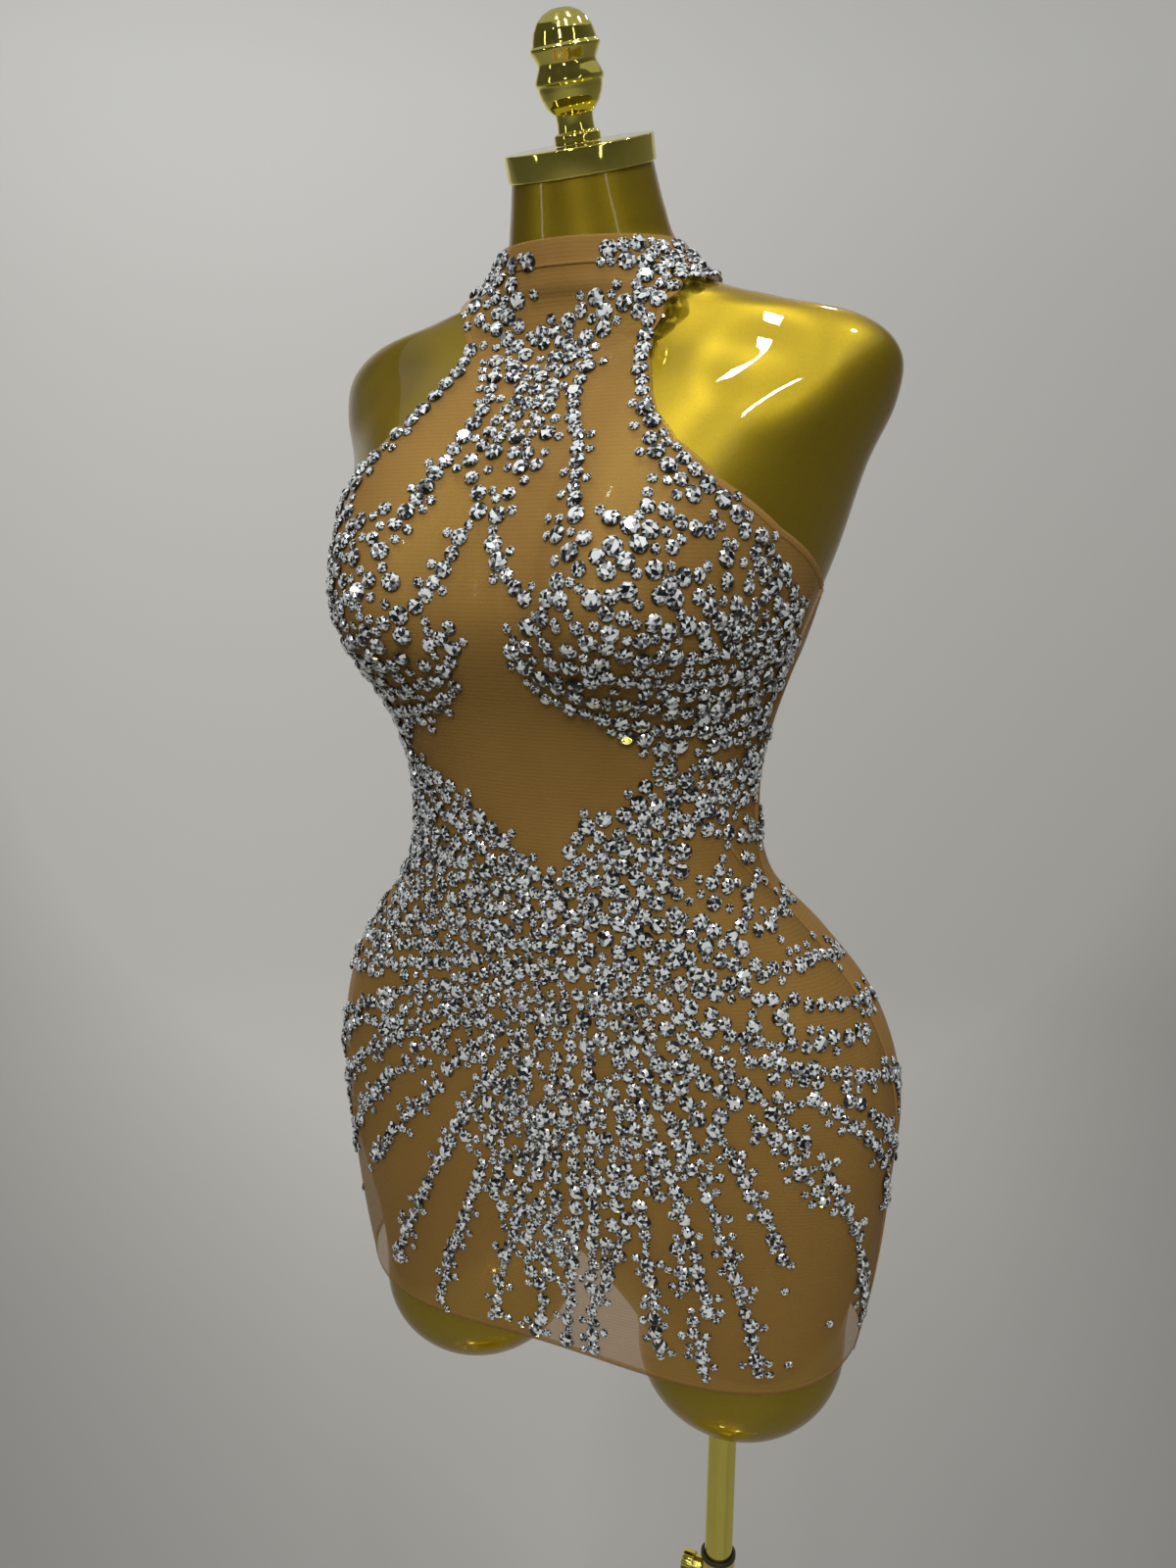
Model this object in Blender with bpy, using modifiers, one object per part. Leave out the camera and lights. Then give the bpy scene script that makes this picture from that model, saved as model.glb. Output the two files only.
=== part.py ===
"""Sheer halter mini dress on a limbless torso form with a telescopic pole stand.

Metres, +Z up. The wearer faces -Y and the wearer's left is +X. The origin is the centre of the
underside of the round base plate. The form's own heights are measured from a level inside its
thighs, a little above their rounded ends.
"""

from math import cos, pi, radians, sin

import bmesh
import bpy
import numpy as np
from mathutils import Vector

# Placing
FORM_LIFT = 0.720
FORM_Y = -0.020
POLE_X = 0.095
POLE_Y = 0.005
CLEARANCE = 0.0003

# Form: one row a station, from the thighs up. Front and back are depths from centre_y, a tilt
# turns the section front down in degrees, and a squareness of 2 is an ellipse.
BODY_COLUMNS = ("height", "half_width", "front", "back", "centre_y", "tilt", "squareness")
BODY_ROWS = (
    (0.010, 0.166, 0.078, 0.104, 0.036, 0, 2.30),
    (0.050, 0.176, 0.084, 0.112, 0.036, 0, 2.35),
    (0.100, 0.185, 0.090, 0.120, 0.036, 0, 2.35),
    (0.155, 0.190, 0.094, 0.128, 0.034, 0, 2.35),
    (0.215, 0.193, 0.096, 0.138, 0.032, 0, 2.30),
    (0.270, 0.178, 0.092, 0.130, 0.024, 0, 2.25),
    (0.316, 0.147, 0.086, 0.106, 0.014, 0, 2.20),
    (0.356, 0.116, 0.080, 0.076, 0.002, 0, 2.15),
    (0.400, 0.108, 0.080, 0.065, -0.004, 0, 2.15),
    (0.445, 0.114, 0.086, 0.067, -0.008, 0, 2.15),
    (0.500, 0.132, 0.094, 0.076, -0.008, 0, 2.20),
    (0.550, 0.148, 0.100, 0.078, 0.004, 0, 2.25),
    (0.598, 0.160, 0.100, 0.072, 0.016, 0, 2.30),
    (0.632, 0.174, 0.086, 0.066, 0.020, 0, 2.40),
    (0.658, 0.176, 0.064, 0.056, 0.018, 0, 2.30),
    (0.676, 0.156, 0.050, 0.046, 0.014, 0, 2.15),
    (0.688, 0.112, 0.044, 0.042, 0.008, 4, 2.05),
    (0.700, 0.073, 0.046, 0.044, 0.003, 8, 2.00),
    (0.720, 0.0515, 0.046, 0.042, -0.004, 14, 2.00),
    (0.738, 0.0450, 0.043, 0.042, -0.011, 18, 2.00),
    (0.759, 0.0405, 0.041, 0.041, -0.018, 23, 2.00),
)
BUST = {"x": 0.076, "height": 0.520, "rise": 0.058, "across": 0.060, "up": 0.086, "down": 0.052}
SEAT = {"x": 0.074, "height": 0.210, "rise": 0.024, "across": 0.070, "up": 0.076, "down": 0.082}
LOBE_ACROSS_POWER = 2.4
LOBE_UP_POWER = 2.2
RING_POINTS = 36
SPLIT_STATION = 2.9
RING_SPANS = ((20, 12.5, 15), (12.5, 9, 14), (9, SPLIT_STATION, 12))

# Thigh ends: an ellipse each, closed by a dome below dome_top
CROTCH_HEIGHT = 0.114
CROTCH_POINTS = 5
THIGH = {"x": 0.1005, "y": 0.040, "half_width": 0.0690, "front": 0.0700, "back": 0.078}
THIGH_SPREAD = radians(35)
DOME_TOP = 0.028
DOME_HEIGHT = 0.060
DOME_STEPS = 5
DOME_LAST = radians(82)
SOCKET_TOP = 0.013

# Neck cap and the turned finial: radius and height up the finial, from its top down
CAP_RADIUS = 0.0425
CAP_HEIGHT = 0.014
CAP_BEVEL = 0.0010
NECK_TILT = radians(23)
FINIAL_PROFILE = (
    (0.0000, 0.0645),
    (0.0052, 0.0639),
    (0.0098, 0.0620),
    (0.0136, 0.0587),
    (0.0161, 0.0545),
    (0.0174, 0.0500),
    (0.0177, 0.0480),
    (0.0193, 0.0467),
    (0.0193, 0.0456),
    (0.0176, 0.0424),
    (0.0159, 0.0392),
    (0.0163, 0.0376),
    (0.0178, 0.0345),
    (0.0191, 0.0315),
    (0.0191, 0.0302),
    (0.0180, 0.0288),
    (0.0177, 0.0262),
    (0.0167, 0.0228),
    (0.0148, 0.0188),
    (0.0122, 0.0159),
    (0.0104, 0.0147),
    (0.0101, 0.0100),
    (0.0104, 0.0060),
    (0.0126, 0.0053),
    (0.0131, 0.0040),
    (0.0131, 0.0008),
    (0.0126, 0.0000),
    (0.0000, 0.0000),
)

# Dress: the wall stands off the form. The bust span is the share of the bust's rise that the cloth
# keeps halfway between the cups, and the throat span is how far it stands off the throat.
CLOTH_GAP = 0.0020
CLOTH_WALL = 0.0010
BUST_SPAN = 0.56
THROAT = {"height": 0.681, "rise": 0.010, "reach": 0.017}
HEM_STATION = 0.86
HEM_DIP = 0.12
SIDE_SEAM = radians(90)
SEAM_HALF_ANGLE = 0.0012
ARMPIT_STATION = 10.6
BACK_DROP = 2.2
BACK_CURVE = 0.8
FRONT_COLUMNS = 28
BACK_COLUMNS = 26
BACK_ROWS = 18
BUST_STATION = 8.6
CHEST_STATION = 12.4

# Armhole: half angle of the front panel at each station above the armpit, in degrees
ARMHOLE_COLUMNS = ("station", "half_angle")
ARMHOLE_ROWS = (
    (10.60, 90.0),
    (11.15, 60.0),
    (11.60, 43.0),
    (12.00, 32.5),
    (12.40, 26.0),
    (12.80, 22.5),
    (13.50, 19.0),
    (14.20, 19.0),
    (15.30, 25.0),
    (16.50, 46.0),
    (17.50, 70.0),
)

# Collar: the stations of its lower and upper edge at the side, how far the neck's lean shifts them
# between front and side, the seam's gap as a share of a station, and the power that keeps the
# curves of the hem and the collar near their own edges of the front panel
COLLAR_LOW = 17.07
FRONT_SPANS = (
    (HEM_STATION, BUST_STATION, 14),
    (BUST_STATION, CHEST_STATION, 17),
    (CHEST_STATION, COLLAR_LOW, 11),
)
COLLAR_HIGH = 17.98
COLLAR_LEAN = 0.48
COLLAR_SEAM = 0.03
EDGE_EASE = 6
COLLAR_COLUMNS = 40
COLLAR_ROWS = 2
COLLAR_WALL = 0.0014
COLLAR_END = radians(179.8)
BUTTON_RADIUS = 0.0040
BUTTON_HEIGHT = 0.0030
BUTTON_ANGLE = radians(174)
BUTTON_SHARES = {"collar_button_upper": 0.74, "collar_button_lower": 0.26}

# Stand
MAST_RADIUS = 0.0095
MAST_FOOT = 0.160
MAST_TOP = 0.732
BORE_GAP = 0.0004
TUBE_RADIUS = 0.0115
TUBE_TOP = 0.588
TUBE_SIDES = 24
BOSS_RADIUS = 0.0065
BOSS_REACH = 0.0165
SCREW_DROP = 0.014
SCREW_RADIUS = 0.0025
SCREW_HOLE_GAP = 0.0003
SCREW_HEAD_RADIUS = 0.0080
SCREW_HEAD_LENGTH = 0.0080
PLATE_RADIUS = 0.200
PLATE_HEIGHT = 0.006
PLATE_SIDES = 60
PLATE_BEVEL = 0.002
SHARP_ANGLE = radians(40)

# Colours, roughness and metallic values
FINISHES = {
    "gold_paint": ((0.42, 0.31, 0.05, 1.0), 0.25, 0.6),
    "gold_metal": ((0.83, 0.62, 0.20, 1.0), 0.12, 1.0),
    "nude_mesh": ((0.46, 0.29, 0.16, 1.0), 0.75, 0.0),
    "pearl_button": ((0.85, 0.82, 0.76, 1.0), 0.30, 0.0),
}


def new_collection(name):
    """Make a collection in the scene."""
    collection = bpy.data.collections.new(name)
    bpy.context.scene.collection.children.link(collection)
    return collection


def finish(name):
    """Return the named material, made on its first use."""
    material = bpy.data.materials.get(name)
    if material:
        return material
    colour, roughness, metallic = FINISHES[name]
    material = bpy.data.materials.new(name)
    material.use_nodes = True
    material.diffuse_color = colour
    shader = material.node_tree.nodes["Principled BSDF"]
    shader.inputs["Base Color"].default_value = colour
    shader.inputs["Roughness"].default_value = roughness
    shader.inputs["Metallic"].default_value = metallic
    return material


def add_object(collection, name, mesh, material, parent=None, location=(0, 0, 0)):
    """Put a mesh in the scene as a named object."""
    item = bpy.data.objects.new(name, mesh)
    collection.objects.link(item)
    item.data.materials.append(finish(material))
    item.parent = parent
    item.location = location
    return item


def add_empty(collection, name, location):
    """Put an empty on a joint's axis."""
    item = bpy.data.objects.new(name, None)
    item.empty_display_size = 0.05
    item.location = location
    collection.objects.link(item)
    return item


def column(rows, columns, name):
    """Return one named column of a table as an array."""
    return np.array([row[columns.index(name)] for row in rows], dtype=float)


def spline(values, station):
    """Catmull-Rom curve through one value a station, its end slopes carried on."""
    last = len(values) - 1
    at = np.clip(station, 0, last - 1e-9)
    low = at.astype(int)
    share = at - low
    start = values[low]
    end = values[low + 1]
    before = np.where(low == 0, 2 * start - end, values[np.maximum(low - 1, 0)])
    after = np.where(low == last - 1, 2 * end - start, values[np.minimum(low + 2, last)])
    straight = (end - before) * share
    bend = (2 * before - 5 * start + 4 * end - after) * share ** 2
    twist = (3 * start - before - 3 * end + after) * share ** 3
    return start + 0.5 * (straight + bend + twist)


def fall(distance, reach, power):
    """Bell curve of a distance: exp(-(distance / reach) ** power)."""
    return np.exp(-np.abs(distance / reach) ** power)


def lobes(x, height, lobe, span=0.0):
    """Rise of a pair of round lobes. A span above 0 bridges the hollow between them."""
    reach = np.where(height > lobe["height"], lobe["up"], lobe["down"])
    power = LOBE_ACROSS_POWER
    pair = fall(x - lobe["x"], lobe["across"], power) + fall(x + lobe["x"], lobe["across"], power)
    if span:
        outside = np.maximum(np.abs(x) - lobe["x"], 0)
        inside = np.minimum(np.abs(x) / lobe["x"], 1)
        bridge = fall(outside, lobe["across"], power) * (span + (1 - span) * inside ** 2)
        pair = np.maximum(pair, bridge)
    return lobe["rise"] * fall(height - lobe["height"], reach, LOBE_UP_POWER) * pair


def body(station, angle, span=0.0):
    """Points of the form's skin: a squared ellipse a station, with bust and seat lobes added."""
    value = {name: spline(column(BODY_ROWS, BODY_COLUMNS, name), station) for name in BODY_COLUMNS}
    side = np.sin(angle)
    ahead = np.cos(angle)
    square = value["squareness"]
    radius = (np.abs(side) ** square + np.abs(ahead) ** square) ** (-1 / square)
    depth = np.where(ahead > 0, value["front"], value["back"])
    tilt = np.radians(value["tilt"])
    along = -depth * radius * ahead
    x = value["half_width"] * radius * side
    y = value["centre_y"] + along * np.cos(tilt)
    z = value["height"] + along * np.sin(tilt)
    y = y - lobes(x, z, BUST, span) * np.clip(ahead, 0, 1) ** 0.5
    if span:
        throat = THROAT["rise"] * fall(z - THROAT["height"], THROAT["reach"], 2)
        y = y - throat * np.clip(ahead, 0, 1) ** 1.5
    y = y + lobes(x, z, SEAT) * np.clip(-ahead, 0, 1) ** 0.5
    return np.stack([x, y, z], axis=-1)


def cloth(station, angle, lift):
    """Points of the cloth: the spanned skin moved out along its own normals."""
    step = 1e-3
    points = body(station, angle, BUST_SPAN)
    around = body(station, angle + step, BUST_SPAN) - body(station, angle - step, BUST_SPAN)
    top = len(BODY_ROWS) - 1
    above = body(np.minimum(station + step, top), angle, BUST_SPAN)
    up = above - body(station - step, angle, BUST_SPAN)
    normal = np.cross(around, up)
    return points + lift * normal / np.linalg.norm(normal, axis=-1, keepdims=True)


def hem_station(angle):
    """Station of the hem: a little lower over each thigh."""
    return HEM_STATION + HEM_DIP * np.cos(4 * angle)


def back_station(angle):
    """Station of the open back's edge, falling from the armpits to the centre back."""
    return ARMPIT_STATION - BACK_DROP * np.abs(np.cos(angle)) ** BACK_CURVE


def collar_station(angle, share):
    """Station on the collar, share 0 at its lower edge and 1 at its upper edge."""
    side = COLLAR_LOW + share * (COLLAR_HIGH - COLLAR_LOW)
    return side + COLLAR_LEAN * np.cos(angle)


def armhole_angle(station):
    """Half angle of the front panel: the side seam, then the armhole's curve."""
    stations = column(ARMHOLE_ROWS, ARMHOLE_COLUMNS, "station")
    angles = column(ARMHOLE_ROWS, ARMHOLE_COLUMNS, "half_angle")
    return np.radians(np.interp(station, stations, angles)) - SEAM_HALF_ANGLE


def span_stations(spans):
    """Stations along a chain of spans, each with its own count of steps."""
    runs = [np.linspace(start, end, steps, endpoint=False) for start, end, steps in spans]
    return np.append(np.concatenate(runs), spans[-1][1])


def sheet_faces(rows, columns):
    """Faces of a grid of points, its rows running up and its columns running round."""
    faces = []
    for row in range(rows - 1):
        for place in range(columns - 1):
            low = row * columns + place
            faces.append((low, low + 1, low + 1 + columns, low + columns))
    return faces


def sheet_mesh(name, points):
    """Mesh of an open sheet through a grid of points."""
    rows, columns = points.shape[:2]
    mesh = bpy.data.meshes.new(name)
    mesh.from_pydata(points.reshape(-1, 3).tolist(), [], sheet_faces(rows, columns))
    mesh.shade_smooth()
    return mesh


def add_wall(item, thickness):
    """Give an open sheet its thickness, outwards."""
    wall = item.modifiers.new("wall", "SOLIDIFY")
    wall.thickness = thickness
    wall.offset = 1.0


def add_screw(item, sides):
    """Turn a profile into a round solid about the object's Z axis."""
    turn = item.modifiers.new("turn", "SCREW")
    turn.axis = "Z"
    turn.steps = sides
    turn.render_steps = sides
    turn.use_merge_vertices = True
    turn.merge_threshold = 0.00001
    turn.use_smooth_shade = True


def add_bevel(item, width, segments):
    """Round an object's sharp edges."""
    bevel = item.modifiers.new("edge", "BEVEL")
    bevel.width = width
    bevel.segments = segments
    bevel.limit_method = "ANGLE"
    bevel.angle_limit = SHARP_ANGLE


def profile_mesh(name, profile, closed):
    """Mesh of a profile in the XZ plane, for a Screw modifier."""
    points = [(radius, 0, height) for radius, height in profile]
    edges = [(place, place + 1) for place in range(len(points) - 1)]
    if closed:
        edges.append((len(points) - 1, 0))
    mesh = bpy.data.meshes.new(name)
    mesh.from_pydata(points, edges, [])
    return mesh


def cylinder_mesh(name, radius, low, high, sides):
    """Mesh of an upright cylinder about the object's Z axis."""
    work = bmesh.new()
    bmesh.ops.create_cone(
        work, cap_ends=True, segments=sides, radius1=radius, radius2=radius, depth=high - low
    )
    bmesh.ops.translate(work, verts=work.verts, vec=(0, 0, (low + high) / 2))
    mesh = bpy.data.meshes.new(name)
    work.to_mesh(mesh)
    work.free()
    mesh.shade_smooth()
    mesh.set_sharp_from_angle(angle=SHARP_ANGLE)
    return mesh


def add_cutter(cutters, name, mesh, parent, location, rotation):
    """Put a cutter, or a piece to join on, in its own collection."""
    cutter = bpy.data.objects.new(name, mesh)
    cutters.objects.link(cutter)
    cutter.parent = parent
    cutter.location = location
    cutter.rotation_euler = rotation
    cutter.hide_render = True
    cutter.display_type = "WIRE"
    return cutter


def add_boolean(item, cutter, operation):
    """Cut or join an object with another."""
    cut = item.modifiers.new(operation.lower(), "BOOLEAN")
    cut.operation = operation
    cut.object = cutter


def thigh_ring(height, share):
    """Ring of one thigh: an ellipse of the given share of its full size."""
    outer = np.linspace(-THIGH_SPREAD, pi + THIGH_SPREAD, RING_POINTS // 2 + 1)
    inner = np.linspace(pi + THIGH_SPREAD, 2 * pi - THIGH_SPREAD, CROTCH_POINTS + 2)[1:-1]
    angle = np.concatenate([outer, inner])
    depth = np.where(np.cos(angle) > 0, THIGH["front"], THIGH["back"])
    x = THIGH["x"] + share * THIGH["half_width"] * np.sin(angle)
    y = THIGH["y"] - share * depth * np.cos(angle)
    return np.stack([x, y, np.full_like(x, height)], axis=-1)


def crotch_line(front, back):
    """Points of the saddle between the thighs, from the back to the front."""
    share = np.linspace(0, 1, CROTCH_POINTS + 2)[1:-1]
    y = back[1] + share * (front[1] - back[1])
    dip = 1 - (2 * share - 1) ** 2
    z = front[2] - (front[2] - CROTCH_HEIGHT) * dip
    return np.stack([np.zeros_like(y), y, z], axis=-1)


def bridge(work, lower, upper):
    """Join two closed rings of vertices with quads."""
    count = len(lower)
    for place in range(count):
        after = (place + 1) % count
        work.faces.new((lower[place], lower[after], upper[after], upper[place]))


def add_ring(work, points):
    """Add a ring of vertices."""
    return [work.verts.new(point) for point in points]


def torso_mesh():
    """Loft of the form: body rings down to the crotch, then two thighs with round ends."""
    work = bmesh.new()
    angle = np.arange(RING_POINTS) * 2 * pi / RING_POINTS
    stations = span_stations(RING_SPANS)
    rings = [add_ring(work, body(np.full_like(angle, place), angle)) for place in stations]
    work.faces.new(rings[0])
    for upper, lower in zip(rings, rings[1:]):
        bridge(work, lower, upper)
    last = rings[-1]
    half = RING_POINTS // 2
    crotch = add_ring(work, crotch_line(np.array(last[0].co), np.array(last[half].co)))
    for side in (1, -1):
        order = [last[(side * place) % RING_POINTS] for place in range(half + 1)]
        add_thigh(work, order + crotch, side)
    bmesh.ops.recalc_face_normals(work, faces=work.faces)
    mesh = bpy.data.meshes.new("form_torso")
    work.to_mesh(mesh)
    work.free()
    mesh.shade_smooth()
    mesh.set_sharp_from_angle(angle=SHARP_ANGLE)
    return mesh


def add_thigh(work, upper, side):
    """Loft one thigh from its crotch ring down to the rounded end."""
    mirror = np.array([side, 1, 1])
    start = np.array([vertex.co for vertex in upper])
    full = thigh_ring(DOME_TOP, 1.0) * mirror
    for share in (0.25, 0.5, 0.75, 1):
        lower = add_ring(work, start + share * (full - start))
        bridge(work, lower, upper)
        upper = lower
    for step in range(1, DOME_STEPS + 1):
        turn = DOME_LAST * step / DOME_STEPS
        height = DOME_TOP - DOME_HEIGHT * sin(turn)
        lower = add_ring(work, thigh_ring(height, cos(turn)) * mirror)
        bridge(work, lower, upper)
        upper = lower
    work.faces.new(upper)


def build_form(parts, cutters, swivel, centre):
    """The painted torso with the socket for the mast in its left thigh."""
    torso = add_object(parts, "form_torso", torso_mesh(), "gold_paint", swivel, centre)
    below = DOME_TOP - 1.5 * DOME_HEIGHT
    bore = cylinder_mesh("socket", MAST_RADIUS + BORE_GAP, below, SOCKET_TOP, TUBE_SIDES)
    socket = add_cutter(cutters, "socket", bore, swivel, (0, 0, 0), (0, 0, 0))
    add_boolean(torso, socket, "DIFFERENCE")


def build_neck(parts, swivel, centre):
    """The neck cap and the finial, square to the neck's leaning top."""
    top = len(BODY_ROWS) - 1
    height = column(BODY_ROWS, BODY_COLUMNS, "height")[top]
    ahead = column(BODY_ROWS, BODY_COLUMNS, "centre_y")[top]
    axis = np.array([0, -sin(NECK_TILT), cos(NECK_TILT)])
    neck = np.array(centre) + np.array([0, ahead, height])
    disc = cylinder_mesh("neck_cap", CAP_RADIUS, 0, CAP_HEIGHT, PLATE_SIDES // 2)
    cap = add_object(parts, "neck_cap", disc, "gold_metal", swivel, neck + CLEARANCE * axis)
    cap.rotation_euler = (NECK_TILT, 0, 0)
    add_bevel(cap, CAP_BEVEL, 2)
    seat = neck + (CAP_HEIGHT + 2 * CLEARANCE) * axis
    turned = profile_mesh("finial", FINIAL_PROFILE, False)
    finial = add_object(parts, "finial", turned, "gold_metal", swivel, seat)
    finial.rotation_euler = (NECK_TILT, 0, 0)
    add_screw(finial, TUBE_SIDES)


def front_points():
    """Grid of the front panel, from the hem up to the collar, as wide as the armhole leaves it."""
    across = np.linspace(-1, 1, FRONT_COLUMNS + 1)
    station, place = np.meshgrid(span_stations(FRONT_SPANS), across, indexing="ij")
    angle = place * armhole_angle(station)
    share = (station - HEM_STATION) / (COLLAR_LOW - HEM_STATION)
    low = (hem_station(angle) - HEM_STATION) * (1 - share) ** EDGE_EASE
    high = (collar_station(angle, 0) - COLLAR_SEAM - COLLAR_LOW) * share ** EDGE_EASE
    return cloth(station + low + high, angle, CLOTH_GAP)


def back_points():
    """Grid of the back panel, from the hem up to the open back's edge."""
    start = SIDE_SEAM + SEAM_HALF_ANGLE
    across = np.linspace(start, 2 * pi - start, BACK_COLUMNS + 1)
    share, angle = np.meshgrid(np.linspace(0, 1, BACK_ROWS + 1), across, indexing="ij")
    station = hem_station(angle) + share * (back_station(angle) - hem_station(angle))
    return cloth(station, angle, CLOTH_GAP)


def collar_points():
    """Grid of the collar band, open at the back of the neck."""
    across = np.linspace(-COLLAR_END, COLLAR_END, COLLAR_COLUMNS + 1)
    share, angle = np.meshgrid(np.linspace(0, 1, COLLAR_ROWS + 1), across, indexing="ij")
    return cloth(collar_station(angle, share), angle, CLOTH_GAP)


def build_dress(parts, swivel, centre):
    """The two panels and the collar, each an open sheet with a wall."""
    pieces = (
        ("dress_front", front_points(), CLOTH_WALL),
        ("dress_back", back_points(), CLOTH_WALL),
        ("dress_collar", collar_points(), COLLAR_WALL),
    )
    for name, points, wall in pieces:
        panel = add_object(parts, name, sheet_mesh(name, points), "nude_mesh", swivel, centre)
        add_wall(panel, wall)


def build_buttons(parts, swivel, centre):
    """The two buttons of the collar's back closure, flat on the band."""
    for name, share in BUTTON_SHARES.items():
        angle = np.array([BUTTON_ANGLE])
        station = collar_station(angle, share)
        inner = cloth(station, angle, CLOTH_GAP + COLLAR_WALL + CLEARANCE)[0]
        outer = cloth(station, angle, CLOTH_GAP + COLLAR_WALL + CLEARANCE + BUTTON_HEIGHT)[0]
        disc = cylinder_mesh(name, BUTTON_RADIUS, 0, BUTTON_HEIGHT, 16)
        button = add_object(parts, name, disc, "pearl_button", swivel, np.array(centre) + inner)
        button.rotation_mode = "QUATERNION"
        button.rotation_quaternion = Vector((outer - inner).tolist()).to_track_quat("Z", "Y")
        add_bevel(button, BUTTON_HEIGHT * 0.3, 2)


def build_tube(parts, cutters):
    """The lower tube, with the threaded boss for the thumb screw on its side."""
    bore = MAST_RADIUS + BORE_GAP
    foot = PLATE_HEIGHT + CLEARANCE
    profile = ((TUBE_RADIUS, TUBE_TOP), (TUBE_RADIUS, foot), (bore, foot), (bore, TUBE_TOP))
    ring = profile_mesh("lower_tube", profile, True)
    tube = add_object(parts, "lower_tube", ring, "gold_metal", None, (POLE_X, POLE_Y, 0))
    add_screw(tube, TUBE_SIDES)
    sideways = (0, -pi / 2, 0)
    spot = (POLE_X, POLE_Y, TUBE_TOP - SCREW_DROP)
    wall = (bore + TUBE_RADIUS) / 2
    boss_mesh = cylinder_mesh("boss", BOSS_RADIUS, wall, BOSS_REACH, TUBE_SIDES // 2)
    boss = add_cutter(cutters, "boss", boss_mesh, None, spot, sideways)
    add_boolean(tube, boss, "UNION")
    hole_radius = SCREW_RADIUS + SCREW_HOLE_GAP
    hole_mesh = cylinder_mesh("screw_hole", hole_radius, bore / 2, BOSS_REACH + 0.002, 12)
    hole = add_cutter(cutters, "screw_hole", hole_mesh, None, spot, sideways)
    add_boolean(tube, hole, "DIFFERENCE")


def build_screw(parts):
    """The thumb screw: its tip just off the mast and its head just off the boss."""
    tip = MAST_RADIUS + CLEARANCE
    head = BOSS_REACH + CLEARANCE
    end = head + SCREW_HEAD_LENGTH
    profile = (
        (0, end),
        (SCREW_HEAD_RADIUS - 0.001, end),
        (SCREW_HEAD_RADIUS, end - 0.001),
        (SCREW_HEAD_RADIUS, head + 0.001),
        (SCREW_HEAD_RADIUS - 0.001, head),
        (SCREW_RADIUS, head),
        (SCREW_RADIUS, tip),
        (0, tip),
    )
    spot = (POLE_X, POLE_Y, TUBE_TOP - SCREW_DROP)
    turned = profile_mesh("clamp_screw", profile, False)
    screw = add_object(parts, "clamp_screw", turned, "gold_metal", None, spot)
    screw.rotation_euler = (0, -pi / 2, 0)
    add_screw(screw, TUBE_SIDES)


def build_stand(parts, cutters):
    """The base plate, the lower tube, the thumb screw and the mast that slides in the tube."""
    disc = cylinder_mesh("base_plate", PLATE_RADIUS, 0, PLATE_HEIGHT, PLATE_SIDES)
    plate = add_object(parts, "base_plate", disc, "gold_metal")
    add_bevel(plate, PLATE_BEVEL, 2)
    build_tube(parts, cutters)
    build_screw(parts)
    rod = cylinder_mesh("mast", MAST_RADIUS, MAST_FOOT, MAST_TOP, TUBE_SIDES)
    add_object(parts, "mast", rod, "gold_metal", None, (POLE_X, POLE_Y, 0))


def main():
    """Clear the scene and build the dress, the form and the stand."""
    for item in list(bpy.data.objects):
        bpy.data.objects.remove(item)
    parts = new_collection("mini_dress_on_form")
    cutters = new_collection("cutters")
    swivel = add_empty(parts, "form_swivel", (POLE_X, POLE_Y, FORM_LIFT))
    centre = (-POLE_X, FORM_Y - POLE_Y, 0)
    build_form(parts, cutters, swivel, centre)
    build_neck(parts, swivel, centre)
    build_dress(parts, swivel, centre)
    build_buttons(parts, swivel, centre)
    build_stand(parts, cutters)


if __name__ == "__main__":
    main()
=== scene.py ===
"""Sheer halter mini dress set with crystals, worn by a limbless gold torso form on a pole."""

import logging
import math
from dataclasses import dataclass
from enum import Enum

import bmesh
import bpy
import numpy as np
from mathutils import Matrix, Vector

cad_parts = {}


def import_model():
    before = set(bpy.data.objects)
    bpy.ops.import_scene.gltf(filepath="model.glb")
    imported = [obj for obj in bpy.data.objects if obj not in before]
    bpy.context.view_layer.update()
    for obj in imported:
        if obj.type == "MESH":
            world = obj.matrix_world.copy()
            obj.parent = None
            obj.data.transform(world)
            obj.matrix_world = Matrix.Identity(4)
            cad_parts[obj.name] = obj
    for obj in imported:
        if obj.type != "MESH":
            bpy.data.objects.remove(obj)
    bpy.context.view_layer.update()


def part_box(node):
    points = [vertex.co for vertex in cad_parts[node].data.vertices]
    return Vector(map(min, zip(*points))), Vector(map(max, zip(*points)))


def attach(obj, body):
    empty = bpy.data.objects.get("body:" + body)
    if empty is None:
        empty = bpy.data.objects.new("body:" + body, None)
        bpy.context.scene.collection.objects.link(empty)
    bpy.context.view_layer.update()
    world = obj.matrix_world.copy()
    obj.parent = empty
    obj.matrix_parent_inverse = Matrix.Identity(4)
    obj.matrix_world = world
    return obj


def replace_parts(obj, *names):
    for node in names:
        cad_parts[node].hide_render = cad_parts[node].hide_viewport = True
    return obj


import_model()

LOG = logging.getLogger("mini_dress")
Array = np.ndarray

# Bodies that the pieces ride on.
FORM_BODY, MAST_BODY, STAND_BODY, SCREW_BODY = "form", "mast", "stand", "screw"

# The form's own frame stands at this place in the world, metres.
FORM_LIFT = 0.720
FORM_Y = -0.020
POLE_X = 0.095
POLE_Y = 0.005

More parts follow.
